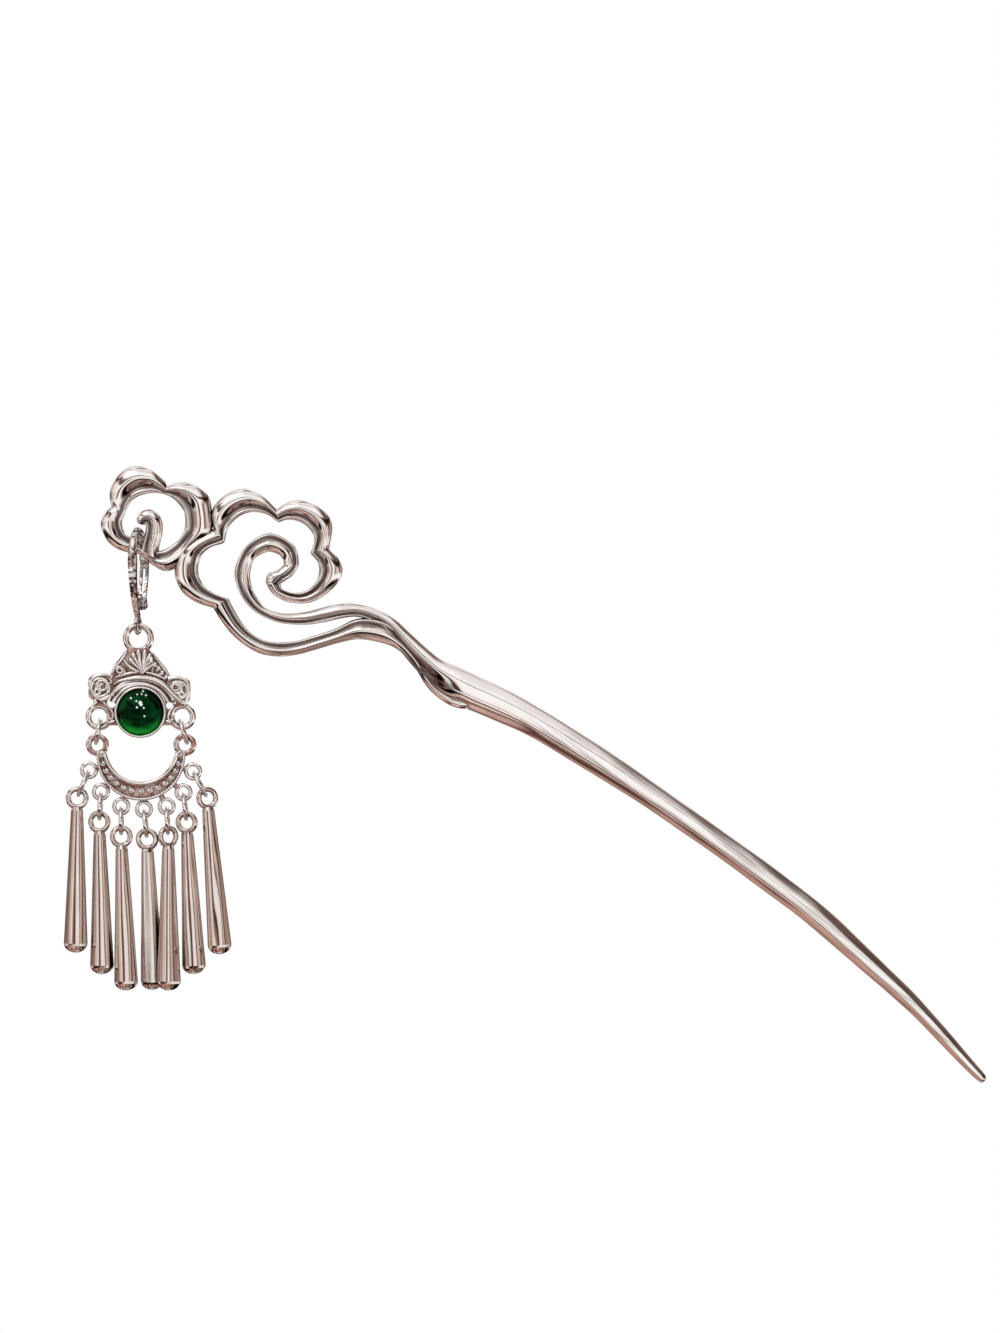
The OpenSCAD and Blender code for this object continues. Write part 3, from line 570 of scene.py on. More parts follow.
def skin_rings(bm, rings, closed=False):
    """Joins rings of vertices into a tube, and closes its ends."""
    pairs = list(zip(rings, rings[1:])) + ([(rings[-1], rings[0])] if closed else [])
    for a, b in pairs:
        for k in range(len(a)):
            n = (k + 1) % len(a)
            bm.faces.new((a[k], b[k], b[n], a[n]))
    if not closed:
        bm.faces.new(rings[0])
        bm.faces.new(list(reversed(rings[-1])))


def stem_share(x):
    """How far a place along the pin has passed from the clouds to the stem."""
    return min(1.0, max(0.0, (x - CLOUDS_END) / (STEM_BEGINS - CLOUDS_END)))


def valley_mark(x, p):
    """How dark the valley's painted shade is at a place along the pin and across the band, deepened into a
    painted shadow at the twist.
    """
    twist = max(0.0, 1 - abs(x - TWIST_AT) / TWIST_LENGTH)
    reach = VALLEY_REACH + TWIST_REACH * twist
    share = max(1 - stem_share(x), min(1.0, 2 * twist))
    depth = (1 + TWIST_DARKENING * twist) * share
    return min(1.0, depth * math.exp(-((p - VALLEY_AT) / reach) ** 2))


def band_section(x):
    """The band's half section at a place along the pin."""
    t = stem_share(x)
    return [
        (a + (c - a) * t, b + (d - b) * t)
        for (a, b), (c, d) in zip(SMOOTH_CLOUD_SECTION, SMOOTH_STEM_SECTION)]


def add_band(bm, rows, settings, closed=False):
    """Sweeps the band's section through its rows, in millimetres, into the mesh."""
    # Every vertex carries how dark the painted shade of the valley is there.
    sunk = bm.verts.layers.float.get("sunk") or bm.verts.layers.float.new("sunk")
    rings = []
    for x, z, width, angle in rows[:-1] if closed else rows:
        front = band_section(x)
        loop = [(p, -q) for p, q in front[:-1]] + [(p, q) for p, q in reversed(front[1:])]
        half = width / 2
        depth = settings.depth_ratio * width / (1 + settings.depth_easing * width)
        c, s = math.cos(math.radians(angle)), math.sin(math.radians(angle))
        rings.append([
            bm.verts.new((MM * (x + p * half * c), MM * q * depth, MM * (z + p * half * s)))
            for p, q in loop])
        for vertex, (p, q) in zip(rings[-1], loop):
            vertex[sunk] = valley_mark(x, p)
    skin_rings(bm, rings, closed)


def link_object(name, data):
    made = bpy.data.objects.new(name, data)
    bpy.context.scene.collection.objects.link(made)
    return made


def finished_object(bm, name):
    """A smoothly shaded object from the mesh being built."""
    bmesh.ops.recalc_face_normals(bm, faces=bm.faces)
    for face in bm.faces:
        face.smooth = True
    mesh = bpy.data.meshes.new(name)
    bm.to_mesh(mesh)
    bm.free()
    return link_object(name, mesh)


def cast_pin(settings):
    """The casting in four swept bands: the cloud's lobes, its curl with the stem, the ring, the comma."""
    bm = bmesh.new()
    lobes = [LOWER_STRAND, LEFT_LOBE, UPPER_LEFT_LOBE, UPPER_RIGHT_LOBE, LOWER_RIGHT_LOBE]
    ring = [ring_rows(table) for table in (RING_RIGHT, RING_LEFT, RING_TOP)]
    add_band(bm, joined(lobes, CLOUD_STEPS), settings)
    add_band(bm, joined([CURL_AND_UPPER_STRAND, STEM], STRAND_STEPS), settings)
    add_band(bm, joined(ring, CLOUD_STEPS), settings, closed=True)
    add_band(bm, smooth_rows(COMMA_CURL, STRAND_STEPS), settings)
    bm.normal_update()
    moves = []
    for vertex in bm.verts:
        slow = noise.noise(vertex.co * SLOW_WAVE_CELLS)
        quick = noise.noise(vertex.co * QUICK_WAVE_CELLS)
        moves.append(vertex.normal * settings.waviness * (slow + QUICK_WAVE_SHARE * quick))
    for vertex, move in zip(bm.verts, moves):
        vertex.co += move
    casting = finished_object(bm, "cloud_casting")
    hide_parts("pin")
    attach(casting, "pin")
    return casting


# The relief of the pendant

# The tassel is drawn in millimetres from the centre of the crescent's inner edge
TASSEL_AT = (-96.15, 0.0, 14.2)
# Raised strokes of the pendant head: height of the stroke's middle over the tassel's mid-plane,
# then a table with x, z and half the stroke's thickness
LEFT_WING_RIM = (0.85, [
    (-4.6, 12.1, 0.12), (-5.6, 12.35, 0.26), (-6.9, 12.35, 0.32), (-8.1, 11.95, 0.34), (-8.75, 11.1, 0.34),
    (-8.65, 10.0, 0.32), (-8.1, 8.95, 0.32), (-7.1, 8.25, 0.34), (-5.9, 8.3, 0.38), (-4.5, 9.45, 0.4),
    (-2.75, 10.55, 0.38), (-0.2, 10.95, 0.36), (1.6, 10.55, 0.33), (3.1, 9.45, 0.3), (3.95, 8.25, 0.26),
    (4.2, 7.2, 0.16)])
ROOF_RIM = (0.9, [
    (-4.7, 10.75, 0.16), (-3.4, 11.35, 0.36), (-0.9, 11.8, 0.52), (1.4, 11.75, 0.56), (3.2, 11.1, 0.56),
    (4.5, 10.15, 0.52), (5.5, 9.1, 0.46), (6.6, 8.1, 0.38), (7.2, 7.3, 0.2)])
RIGHT_WING_RIM = (0.85, [
    (4.75, 11.4, 0.14), (5.6, 11.8, 0.28), (6.9, 11.8, 0.34), (7.95, 11.2, 0.36), (8.2, 10.1, 0.36),
    (8.05, 8.9, 0.34), (7.7, 7.8, 0.3), (7.6, 7.0, 0.16)])
LEFT_SHOULDER = (0.7, [(-2.4, 16.7, 0.16), (-3.3, 15.2, 0.34), (-4.3, 13.8, 0.38), (-5.1, 12.4, 0.2)])
LEFT_LEAF = (0.75, [(-3.0, 15.1, 0.14), (-2.3, 14.1, 0.3), (-1.3, 13.4, 0.32), (-0.3, 12.9, 0.2)])
RIGHT_SHOULDER = (0.7, [(1.85, 16.4, 0.16), (2.9, 14.9, 0.3), (3.95, 13.6, 0.32), (4.9, 12.2, 0.18)])
LEFT_STEP = (0.72, [(-4.5, 11.9, 0.14), (-3.2, 12.35, 0.26), (-1.7, 12.75, 0.28), (-0.5, 12.85, 0.14)])
RIGHT_STEP = (0.72, [(4.4, 11.6, 0.14), (3.2, 12.15, 0.26), (1.9, 12.6, 0.28), (0.8, 12.85, 0.14)])
LEFT_POST = (0.68, [(-7.9, 8.4, 0.2), (-7.75, 7.8, 0.42), (-7.9, 7.1, 0.3)])
LEFT_INNER_POST = (0.68, [(-6.7, 8.0, 0.18), (-6.2, 7.5, 0.34), (-5.9, 7.0, 0.2)])
RIGHT_POST = (0.68, [(7.1, 8.3, 0.2), (7.25, 7.7, 0.44), (7.3, 7.0, 0.3)])
RIGHT_INNER_POST = (0.68, [(6.0, 8.0, 0.18), (5.85, 7.5, 0.34), (5.8, 7.0, 0.2)])
LEFT_STRUT = (0.66, [(-5.7, 4.2, 0.16), (-5.1, 4.3, 0.36), (-4.4, 4.6, 0.2)])
RIGHT_STRUT = (0.66, [(5.6, 4.2, 0.16), (4.9, 4.3, 0.36), (4.2, 4.6, 0.2)])
LEFT_SCROLL = (0.6, [
    (-6.3, 7.4, 0.14), (-5.3, 6.6, 0.26), (-4.75, 5.6, 0.28), (-5.0, 4.8, 0.24), (-5.5, 4.9, 0.2),
    (-5.4, 5.4, 0.14)])
RIGHT_SCROLL = (0.6, [
    (5.9, 7.2, 0.14), (5.1, 6.4, 0.26), (4.65, 5.4, 0.28), (4.9, 4.6, 0.24), (5.4, 4.7, 0.2),
    (5.3, 5.2, 0.14)])
STROKES = [
    LEFT_WING_RIM, ROOF_RIM, RIGHT_WING_RIM, LEFT_SHOULDER, LEFT_LEAF, RIGHT_SHOULDER, LEFT_SCROLL,
    RIGHT_SCROLL, LEFT_STEP, RIGHT_STEP, LEFT_POST, LEFT_INNER_POST, RIGHT_POST, RIGHT_INNER_POST,
    LEFT_STRUT, RIGHT_STRUT]
# Curls: x, z of the middle, outer radius, inner radius, first direction, turn in degrees, thickness
CURLS = [
    (-6.55, 10.45, 1.25, 0.3, 210, -500, 0.27), (-8.0, 11.1, 0.45, 0.2, 0, 330, 0.2),
    (-5.3, 11.3, 0.4, 0.2, 180, 300, 0.2), (-3.5, 13.2, 0.72, 0.25, 60, 420, 0.25),
    (6.1, 10.3, 1.15, 0.3, -30, 500, 0.27), (7.3, 10.75, 0.4, 0.2, 90, 330, 0.2),
    (6.6, 8.75, 0.4, 0.2, 180, -300, 0.2)]
# The palmette's ribs: direction and length
PALMETTE_FOOT = (0.15, 12.9)
PALMETTE_RIBS = [(-42, 3.2), (-26, 3.7), (-9, 3.95), (9, 3.95), (26, 3.6), (42, 3.0)]
# The slanted grains down the right shoulder: x, z of the first, step, and how many
SHOULDER_GRAINS = (1.75, 14.8, 0.62, -0.72, 5)
# Curls on the two ends of the crescent, in the columns of CURLS
END_CURLS = [(-6.5, -1.2, 0.5, 0.15, 60, 420, 0.24), (6.55, -1.2, 0.5, 0.15, 120, -420, 0.24)]
# A rib and a grain: share of the length from the foot or the middle, and the thickness there
RIB_PROFILE = [(0.0, 0.1), (0.25, 0.2), (0.55, 0.34), (0.8, 0.42), (0.95, 0.34), (1.0, 0.12)]
GRAIN_PROFILE = [(-1.2, 0.08), (-0.8, 0.24), (0.0, 0.32), (0.8, 0.24), (1.2, 0.08)]
GRAIN_SLANT = (0.28, 0.5)
# How far the middle of each wire stands over the tassel's mid-plane
CURL_HEIGHT = 0.9
RIB_HEIGHT = 0.72
LIP_HEIGHT = 1.12
END_CURL_HEIGHT = 0.85
INNER_RIM_HEIGHT = 0.82
OUTER_RIM_HEIGHT = 0.84
BEAD_HEIGHT = 0.64
# The stone's setting: its middle, the radius of its lip and the lip's thickness
STONE_AT = (-0.1, 6.0)
SETTING_LIP_R = 4.22
LIP_THICKNESS = 0.24
LIP_STEPS = 72
# The crescent: how far the outer circle's middle lies below the inner one's, both radii, and the
# angle from straight down to its ends
CRESCENT_DROP = 1.6
CRESCENT_INNER_R = 6.0
CRESCENT_OUTER_R = 7.6
CRESCENT_REACH = 82
CRESCENT_STEPS = 160
# The crescent's rims: their place against its edges, and their thickness
INNER_RIM_SCALE = 1.05
OUTER_RIM_SCALE = 0.97
INNER_RIM_THICKNESS = 0.38
OUTER_RIM_THICKNESS = 0.25
OUTER_RIM_BEADING = 0.06
# The bead rings: how many, the angle to the last one, outer and inner radius, turn and thickness
BEAD_COUNT = 13
BEAD_REACH = 67
BEAD_RADII = (0.54, 0.2)
BEAD_TURN = 320
BEAD_THICKNESS = 0.2
# How many rows stand for one row of a stroke, and how many sides a wire has
STROKE_STEPS = 5
WIRE_SIDES = 10


def tassel_point(x, y, z):
    """A place of the tassel's frame, given in metres in the part's frame."""
    return Vector((x + TASSEL_AT[0], y + TASSEL_AT[1], z + TASSEL_AT[2])) * MM


def add_wire(bm, height, rows, closed=False):
    """Sweeps a round wire through rows of x, z and radius, at one height over the tassel's mid-plane."""
    rings = []
    count = len(rows)
    for i, (x, z, radius) in enumerate(rows):
        before = rows[i - 1] if i or closed else rows[0]
        after = rows[(i + 1) % count] if i < count - 1 or closed else rows[-1]
        run = Vector((after[0] - before[0], 0.0, after[1] - before[1])).normalized()
        side = Vector((-run.z, 0.0, run.x))
        rings.append([
            bm.verts.new(
                tassel_point(x, -height, z)
                + MM * radius * (math.cos(turn) * side + math.sin(turn) * Vector((0.0, 1.0, 0.0))))
            for turn in (2 * math.pi * k / WIRE_SIDES for k in range(WIRE_SIDES))])
    skin_rings(bm, rings, closed)


def curl_rows(x, z, outer, inner, first, turn, thickness):
    """Rows of x, z and thickness along a curl that winds inwards, thin at its first end."""
    rows = []
    steps = max(10, int(abs(turn) / 18))
    for i in range(steps + 1):
        t = i / steps
        angle = math.radians(first + turn * t)
        radius = outer + (inner - outer) * t
        end = min(1.0, 0.35 + 4 * t)
        rows.append((x + radius * math.cos(angle), z + radius * math.sin(angle), thickness * end))
    return rows


def finial_relief(bm):
    """The strokes, curls, palmette, grains and the lip of the stone's setting on the pendant head."""
    for height, rows in STROKES:
        add_wire(bm, height, smooth_rows(rows, STROKE_STEPS))
    for curl in CURLS:
        add_wire(bm, CURL_HEIGHT, curl_rows(*curl))
    foot_x, foot_z = PALMETTE_FOOT
    for direction, length in PALMETTE_RIBS:
        across, up = math.sin(math.radians(direction)), math.cos(math.radians(direction))
        add_wire(bm, RIB_HEIGHT, [
            (foot_x + length * t * across, foot_z + length * t * up, radius)
            for t, radius in RIB_PROFILE])
    first_x, first_z, step_x, step_z, count = SHOULDER_GRAINS
    slant_x, slant_z = GRAIN_SLANT
    for i in range(count):
        x, z = first_x + step_x * i, first_z + step_z * i
        add_wire(bm, RIB_HEIGHT, [(x + slant_x * t, z + slant_z * t, radius) for t, radius in GRAIN_PROFILE])
    stone_x, stone_z = STONE_AT
    around = [2 * math.pi * i / LIP_STEPS for i in range(LIP_STEPS)]
    add_wire(bm, LIP_HEIGHT, [
        (stone_x + SETTING_LIP_R * math.cos(a), stone_z + SETTING_LIP_R * math.sin(a), LIP_THICKNESS)
        for a in around], closed=True)


def crescent_rim(angle, share):
    """A place across the crescent, from the inner edge at 0 to the outer edge at 1."""
    a = math.radians(angle)
    reach = CRESCENT_DROP * math.cos(a) + math.sqrt(
        CRESCENT_OUTER_R ** 2 - (CRESCENT_DROP * math.sin(a)) ** 2)
    radius = CRESCENT_INNER_R + (reach - CRESCENT_INNER_R) * share
    return radius * math.sin(a), -radius * math.cos(a)


def crescent_relief(bm):
    """The two rims, the row of bead rings and the end curls on the crescent."""
    inner, outer = [], []
    for i in range(CRESCENT_STEPS + 1):
        angle = -CRESCENT_REACH + 2 * CRESCENT_REACH * i / CRESCENT_STEPS
        end = min(1.0, 0.3 + (CRESCENT_REACH - abs(angle)) / 10)
        x, z = crescent_rim(angle, 0.0)
        inner.append((x * INNER_RIM_SCALE, z * INNER_RIM_SCALE, INNER_RIM_THICKNESS * end))
        x, z = crescent_rim(angle, 1.0)
        lowered = CRESCENT_DROP * (OUTER_RIM_SCALE - 1) + z * OUTER_RIM_SCALE
        thickness = OUTER_RIM_THICKNESS + OUTER_RIM_BEADING * math.sin(i * 1.9)
        outer.append((x * OUTER_RIM_SCALE, lowered, thickness * end))
    add_wire(bm, INNER_RIM_HEIGHT, inner)
    add_wire(bm, OUTER_RIM_HEIGHT, outer)
    for i in range(BEAD_COUNT):
        angle = -BEAD_REACH + 2 * BEAD_REACH * i / (BEAD_COUNT - 1)
        x, z = crescent_rim(angle, 0.5)
        turn = BEAD_TURN if i < BEAD_COUNT // 2 else -BEAD_TURN
        add_wire(bm, BEAD_HEIGHT, curl_rows(x, z, *BEAD_RADII, 90 - angle, turn, BEAD_THICKNESS))
    for curl in END_CURLS:
        add_wire(bm, END_CURL_HEIGHT, curl_rows(*curl))


# How near the relief has to close in for painted shade to gather, in metres
RELIEF_RECESS = 0.0004


def relief_piece(name, build, metal):
    """A raised relief on the pendant, which hangs and swings with it."""
    bm = bmesh.new()
    build(bm)
    piece = finished_object(bm, name)
    piece.data.materials.append(plated_silver(
        name + "_silver", metal, RELIEF_RECESS, darkest=0.75, outlined=False))
    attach(piece, "pendant")


# The studio


def add_ramp(tree, value, stops):
    """A ramp of colours through stops, each a place and its colour."""
    node = tree.nodes.new("ShaderNodeValToRGB")
    ramp = node.color_ramp
    while len(ramp.elements) > 1:
        ramp.elements.remove(ramp.elements[0])
    for i, (place, colour) in enumerate(stops):
        element = ramp.elements[0] if i == 0 else ramp.elements.new(place)
        element.position = place
        element.color = (*colour, 1.0)
    tree.links.new(value, node.inputs[0])
    return node.outputs["Color"]


# Colours of the room that the metal mirrors
WHITE = (1.0, 1.0, 1.0)
PALE = (0.77, 0.72, 0.705)
PEARL = (0.88, 0.775, 0.735)
GREY = (0.37, 0.32, 0.305)
BLUSH = (0.47, 0.335, 0.285)
TAUPE = (0.31, 0.212, 0.178)
CLAY = (0.21, 0.125, 0.105)
PEACH = (0.84, 0.64, 0.575)
ROSE = (0.64, 0.42, 0.36)
RUST = (0.46, 0.25, 0.2)
UMBER = (0.13, 0.085, 0.073)
BROWN = (0.075, 0.04, 0.031)
DARK = (0.012, 0.008, 0.007)
# The room by height, from straight down to straight up
ROOM_BY_HEIGHT = [
    (0.0, BROWN), (0.03, WHITE), (0.08, WHITE), (0.1, GREY), (0.115, UMBER), (0.14, WHITE), (0.19, WHITE),
    (0.21, GREY), (0.235, WHITE), (0.25, WHITE), (0.27, DARK), (0.32, DARK), (0.34, TAUPE), (0.37, WHITE),
    (0.6, WHITE), (0.615, GREY), (0.63, UMBER), (0.655, UMBER), (0.67, WHITE), (0.75, WHITE),
    (0.79, PALE), (0.83, PALE), (0.85, WHITE), (0.9, PALE), (0.93, TAUPE), (1.0, GREY)]
# The room at eye level, from behind the pin over the left, the front and the right to behind it
ROOM_AROUND = [
    (0.0, WHITE), (0.05, WHITE), (0.06, BLUSH), (0.09, BROWN), (0.1, DARK), (0.12, TAUPE), (0.17, TAUPE),
    (0.2, CLAY), (0.27, BLUSH), (0.315, PEARL), (0.33, CLAY), (0.345, WHITE), (0.38, WHITE),
    (0.4, BLUSH), (0.43, CLAY), (0.44, BROWN), (0.468, BROWN), (0.476, BLUSH), (0.495, PEARL),
    (0.525, WHITE), (0.575, WHITE), (0.585, TAUPE), (0.61, CLAY), (0.665, PEARL), (0.69, BLUSH),
    (0.7, BROWN), (0.725, UMBER), (0.78, BLUSH), (0.87, TAUPE), (0.93, DARK), (0.955, DARK),
    (1.0, WHITE)]
# The walls above eye level: warm and dim to both sides, plain to the front and the back
UPPER_WALLS = [
    (0.0, WHITE), (0.1, WHITE), (0.2, BLUSH), (0.3, PEARL), (0.4, WHITE), (0.595, WHITE), (0.62, PALE),
    (0.64, UMBER), (0.71, UMBER), (0.76, TAUPE), (0.8, TAUPE), (0.9, WHITE), (1.0, WHITE)]
# The walls near the ground: rosy to the left, earthy to the front and the right
LOWER_WALLS = [
    (0.0, PEARL), (0.05, BLUSH), (0.1, RUST), (0.2, RUST), (0.29, ROSE), (0.38, PEACH), (0.42, ROSE),
    (0.45, BLUSH), (0.5, CLAY), (0.56, BLUSH), (0.62, TAUPE), (0.9, TAUPE), (0.96, BLUSH), (1.0, PEARL)]


def room_light(settings):
    """A soft room for the metal to mirror, and plain white behind the pin."""
    world = bpy.data.worlds.new("studio_room")
    bpy.context.scene.world = world
    world.use_nodes = True
    tree = world.node_tree
    tree.nodes.clear()
    direction = tree.nodes.new("ShaderNodeTexCoord").outputs["Generated"]
    x, y, z = split_place(tree, direction)
    wobble = add_range(tree, add_noise(tree, direction, 1.7, 2.0), 0.0, 1.0, -0.06, 0.06)
    turn = add_math(tree, "ARCTAN2", x, add_math(tree, "MULTIPLY", y, -1.0))
    around = add_math(tree, "ADD", add_range(tree, turn, -math.pi, math.pi), wobble)
    rise = add_math(tree, "ARCSINE", z)
    height = add_math(tree, "ADD", add_range(tree, rise, -math.pi / 2, math.pi / 2), wobble)
    lifted = add_math(tree, "ADD", height, add_range(tree, around, 0.34, 0.42, -0.06, 0.0))
    by_height = add_ramp(tree, lifted, ROOM_BY_HEIGHT)
    by_turn = add_ramp(tree, around, ROOM_AROUND)
    level = add_math(tree, "ABSOLUTE", z)
    ceiling = add_range(tree, level, 0.75, 0.95)
    below = add_range(tree, z, -0.1, 0.1, 1.0, 0.0)
    sides = add_mix(
        tree, add_math(tree, "MAXIMUM", ceiling, below), add_ramp(tree, around, UPPER_WALLS), WHITE)
    near_ground = add_range(tree, z, -0.5, -0.4, 1.0, 0.0)
    sides = add_mix(tree, near_ground, sides, add_ramp(tree, around, LOWER_WALLS))
    tinted = add_vector(tree, "MULTIPLY", by_height, sides)
    room = add_mix(tree, add_range(tree, level, 0.13, 0.24), by_turn, tinted)
    mirrored = add_node(
        tree, "ShaderNodeBackground", {"Color": room, "Strength": settings.world_strength})[0]
    plain = add_node(tree, "ShaderNodeBackground", {"Color": (*WHITE, 1.0)})[0]
    rays = tree.nodes.new("ShaderNodeLightPath").outputs
    direct = add_math(tree, "MAXIMUM", rays["Is Camera Ray"], rays["Is Diffuse Ray"])
    shown = add_node(tree, "ShaderNodeMixShader", {0: direct, 1: mirrored, 2: plain})[0]
    add_node(tree, "ShaderNodeOutputWorld", {"Surface": shown})


# Soft lights: name, place, width, height, power, and whether the metal mirrors them
LIGHTS = [
    ("key_panel", (-0.6, -0.9, 1.1), 0.7, 0.5, 1.6, True),
    ("fill_panel", (0.9, -0.8, 0.5), 0.5, 0.7, 1.4, False),
    ("back_panel", (0.3, 1.1, 0.7), 0.7, 0.5, 1.6, True)]
# What the lights and the camera face
LIGHTS_AIM = Vector((-0.08, 0.0, 0.03))
CAMERA_AIM = Vector((-0.0344, 0.0, 0.02804))
SENSOR_WIDTH = 36.0
CAMERA_CLIP = (0.05, 20.0)
# The round floor, and from where to where it fades out
FLOOR_RADIUS = 0.4
FLOOR_FADE = (0.12, 0.4)


def pale_floor(settings):
    """A round pale floor that fades out at its rim."""
    bm = bmesh.new()
    bmesh.ops.create_circle(bm, cap_ends=True, segments=96, radius=FLOOR_RADIUS)
    mesh = bpy.data.meshes.new("studio_floor")
    bm.to_mesh(mesh)
    bm.free()
    floor = link_object("studio_floor", mesh)
    floor.location = (CAMERA_AIM.x, 0.0, settings.floor_height)
    floor.visible_glossy = False
    material, tree, shader, place = new_material("pale_floor")
    shade = add_range(tree, add_noise(tree, place, 12.0, 3.0), 0.0, 1.0, 0.0, 0.04)
    darker = [0.95 * part for part in settings.floor_colour]
    colour = add_mix(tree, shade, settings.floor_colour, darker)
    shown = add_range(tree, add_vector(tree, "LENGTH", place, result="Value"), *FLOOR_FADE, 1.0, 0.0)
    fill(tree, shader, {"Base Color": colour, "Roughness": 0.8, "Alpha": shown})
    mesh.materials.append(material)


def soft_light(name, place, width, height, power, mirrored):
    """One soft panel that faces the pin."""
    data = bpy.data.lights.new(name, "AREA")
    data.shape = "RECTANGLE"
    data.size, data.size_y = width, height
    data.energy = power
    lamp = link_object(name, data)
    lamp.location = place
    lamp.visible_glossy = mirrored
    lamp.rotation_mode = "QUATERNION"
    lamp.rotation_quaternion = (LIGHTS_AIM - lamp.location).to_track_quat("-Z", "Y")


def square_on_camera(settings):
    """The camera, straight in front of the pin at the photograph's angle."""
    data = bpy.data.cameras.new("studio_camera")
    data.lens = settings.lens
    data.sensor_width = SENSOR_WIDTH
    data.clip_start, data.clip_end = CAMERA_CLIP
    camera = link_object("studio_camera", data)
    distance = settings.view_height / 2 / (SENSOR_WIDTH / 2 / settings.lens)
    camera.location = CAMERA_AIM + Vector((0.0, -distance, 0.0))
    camera.rotation_euler = (math.pi / 2, 0.0, 0.0)
    bpy.context.scene.camera = camera


# Operators

# How near the form has to close in for painted shade to gather, in metres
CASTING_RECESS = 0.0018
FINIAL_RECESS = 0.0009
CRESCENT_RECESS = 0.0006
LINK_RECESS = 0.0006
BAR_RECESS = 0.0008
# The height of the slow waves in the plating
CASTING_WAVE = 0.000006
PENDANT_WAVE = 0.00002
BAR_WAVE = 0.000004
# The depths between which a relief's ground lies, as plated_silver takes them, and the plain backs
FINIAL_GROUND = (-0.00092, -0.0008, -0.000545, -0.00053)
FINIAL_BACK = 0.0007
CRESCENT_GROUND = (-0.0007, -0.0005, -0.00044, -0.00041)
CRESCENT_BACK = 0.0006


class HAIRPIN_OT_cast_pin(bpy.types.Operator):
    """Build the polished casting of the small ring, the scroll cloud and the stem"""

    bl_idname = "hairpin.cast_pin"
    bl_label = "Cast pin"

    def execute(self, context):
        settings = context.scene.hairpin
        casting = cast_pin(settings.cast_pin)
        casting.data.materials.append(plated_silver(
            "polished_casting", settings.metal, CASTING_RECESS, wave=CASTING_WAVE, streaks=True,
            valleys=True))
        return {"FINISHED"}


class HAIRPIN_OT_clasp(bpy.types.Operator):
    """Finish the hook and the lever of the clasp"""

    bl_idname = "hairpin.clasp"
    bl_label = "Clasp"

    def execute(self, context):
        metal = context.scene.hairpin.metal
        dress("clasp_hook", hammered_silver("hammered_clasp", metal, metal.clasp, metal.worn_silver))
        # The lever's darker colour is painted shade.
        dress("clasp_lever", hammered_silver("hammered_lever", metal, metal.lever, metal.cast_back))
        return {"FINISHED"}


class HAIRPIN_OT_pendant(bpy.types.Operator):
    """Finish the pendant head, the crescent and their small links"""

    bl_idname = "hairpin.pendant"
    bl_label = "Pendant"

    def execute(self, context):
        metal = context.scene.hairpin.metal
        dress("finial", plated_silver(
            "finial_silver", metal, FINIAL_RECESS, wave=PENDANT_WAVE, floor=FINIAL_GROUND, back=FINIAL_BACK))
        dress("crescent", plated_silver(
            "crescent_silver", metal, CRESCENT_RECESS, wave=PENDANT_WAVE, floor=CRESCENT_GROUND,
            back=CRESCENT_BACK))
        relief_piece("finial_relief", finial_relief, metal)
        relief_piece("crescent_relief", crescent_relief, metal)
        links = plated_silver("polished_links", metal, LINK_RECESS)
        for node in LINK_NODES:
            dress(node, links)
        return {"FINISHED"}


class HAIRPIN_OT_stone(bpy.types.Operator):
    """Finish the round green stone"""

    bl_idname = "hairpin.stone"
    bl_label = "Stone"

    def execute(self, context):
        low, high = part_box("cabochon")
        centre = (low + high) / 2
        dress("cabochon", green_glass(context.scene.hairpin.stone, centre, (high.x - low.x) / 2))
        return {"FINISHED"}


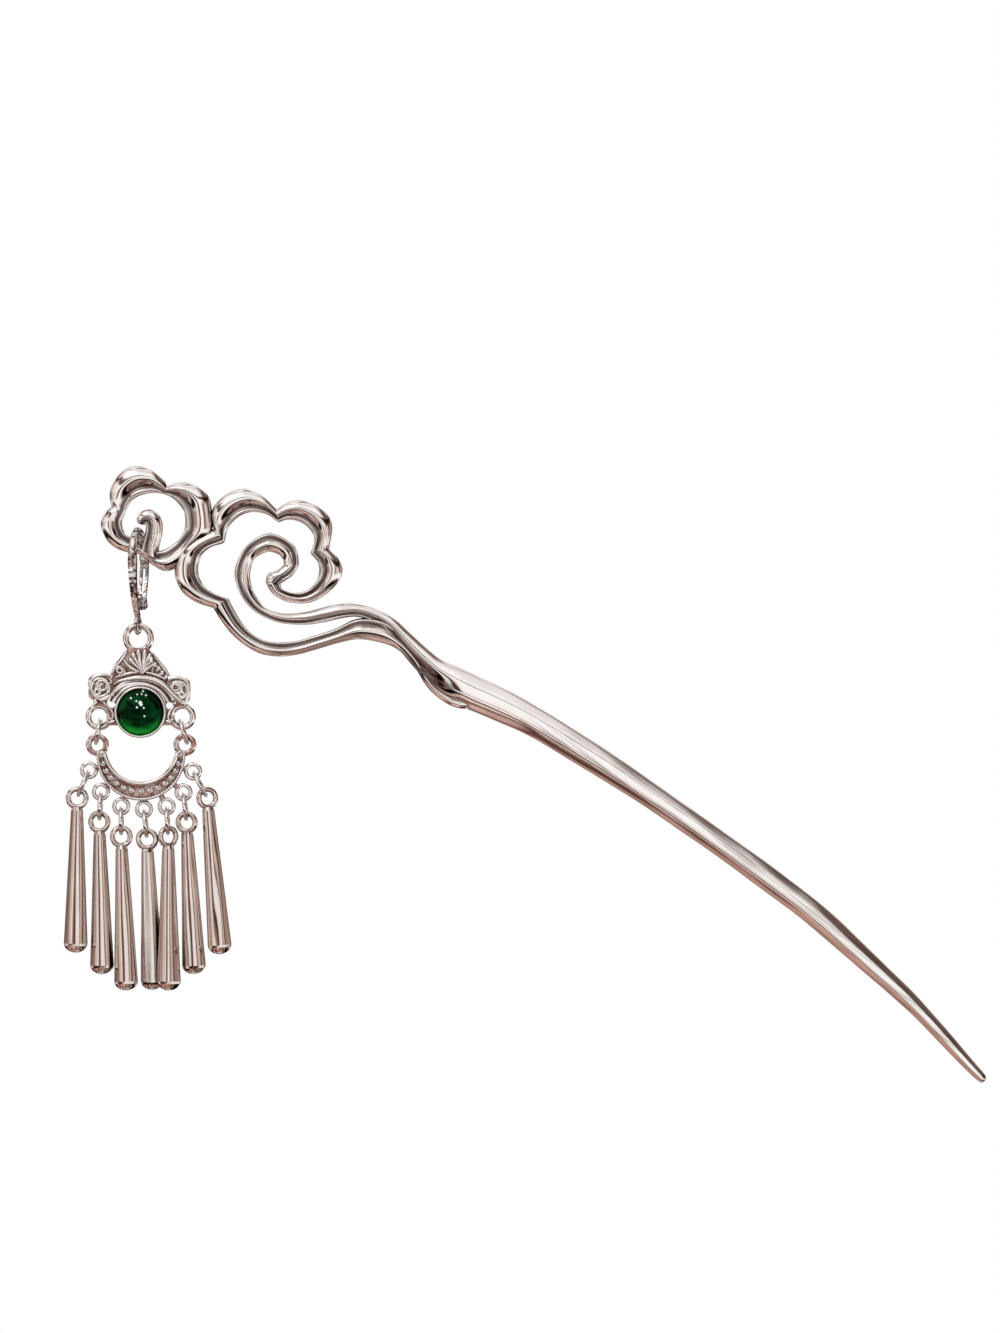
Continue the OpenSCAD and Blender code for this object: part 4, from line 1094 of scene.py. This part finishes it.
class HAIRPIN_OT_fringe(bpy.types.Operator):
    """Finish the seven drop bars"""

    bl_idname = "hairpin.fringe"
    bl_label = "Fringe"

    def execute(self, context):
        metal = context.scene.hairpin.metal
        bars = plated_silver(
            "polished_bars", metal, BAR_RECESS, wave=BAR_WAVE, bright=metal.bar_silver, bars=True)
        for node in BAR_NODES:
            dress(node, bars)
        return {"FINISHED"}


class HAIRPIN_OT_studio(bpy.types.Operator):
    """Set up the pale floor, the soft lights, the room and the camera"""

    bl_idname = "hairpin.studio"
    bl_label = "Studio"

    def execute(self, context):
        settings = context.scene.hairpin.studio
        pale_floor(settings)
        for light in LIGHTS:
            soft_light(*light)
        room_light(settings)
        square_on_camera(settings)
        context.scene.view_settings.view_transform = "Standard"
        return {"FINISHED"}


class HAIRPIN_PT_panel(bpy.types.Panel):
    bl_idname = "HAIRPIN_PT_panel"
    bl_label = "Cloud hairpin"
    bl_space_type = "VIEW_3D"
    bl_region_type = "UI"
    bl_category = "Hairpin"

    def draw(self, context):
        for operator in OPERATORS:
            self.layout.operator(operator.bl_idname)
        settings = context.scene.hairpin
        for group in (settings.cast_pin, settings.metal, settings.stone, settings.studio):
            box = self.layout.box()
            for name in group.__annotations__:
                box.prop(group, name)


OPERATORS = (
    HAIRPIN_OT_cast_pin,
    HAIRPIN_OT_clasp,
    HAIRPIN_OT_pendant,
    HAIRPIN_OT_stone,
    HAIRPIN_OT_fringe,
    HAIRPIN_OT_studio,
)
CLASSES = (
    CastPinSettings,
    MetalSettings,
    StoneSettings,
    StudioSettings,
    HairpinSettings,
    *OPERATORS,
    HAIRPIN_PT_panel,
)


def register():
    for cls in CLASSES:
        bpy.utils.register_class(cls)
    bpy.types.Scene.hairpin = PointerProperty(type=HairpinSettings)


def unregister():
    del bpy.types.Scene.hairpin
    for cls in reversed(CLASSES):
        bpy.utils.unregister_class(cls)


def main():
    register()
    bpy.ops.hairpin.cast_pin()
    bpy.ops.hairpin.clasp()
    bpy.ops.hairpin.pendant()
    bpy.ops.hairpin.stone()
    bpy.ops.hairpin.fringe()
    bpy.ops.hairpin.studio()
    bpy.context.view_layer.update()


if __name__ == "__main__":
    main()
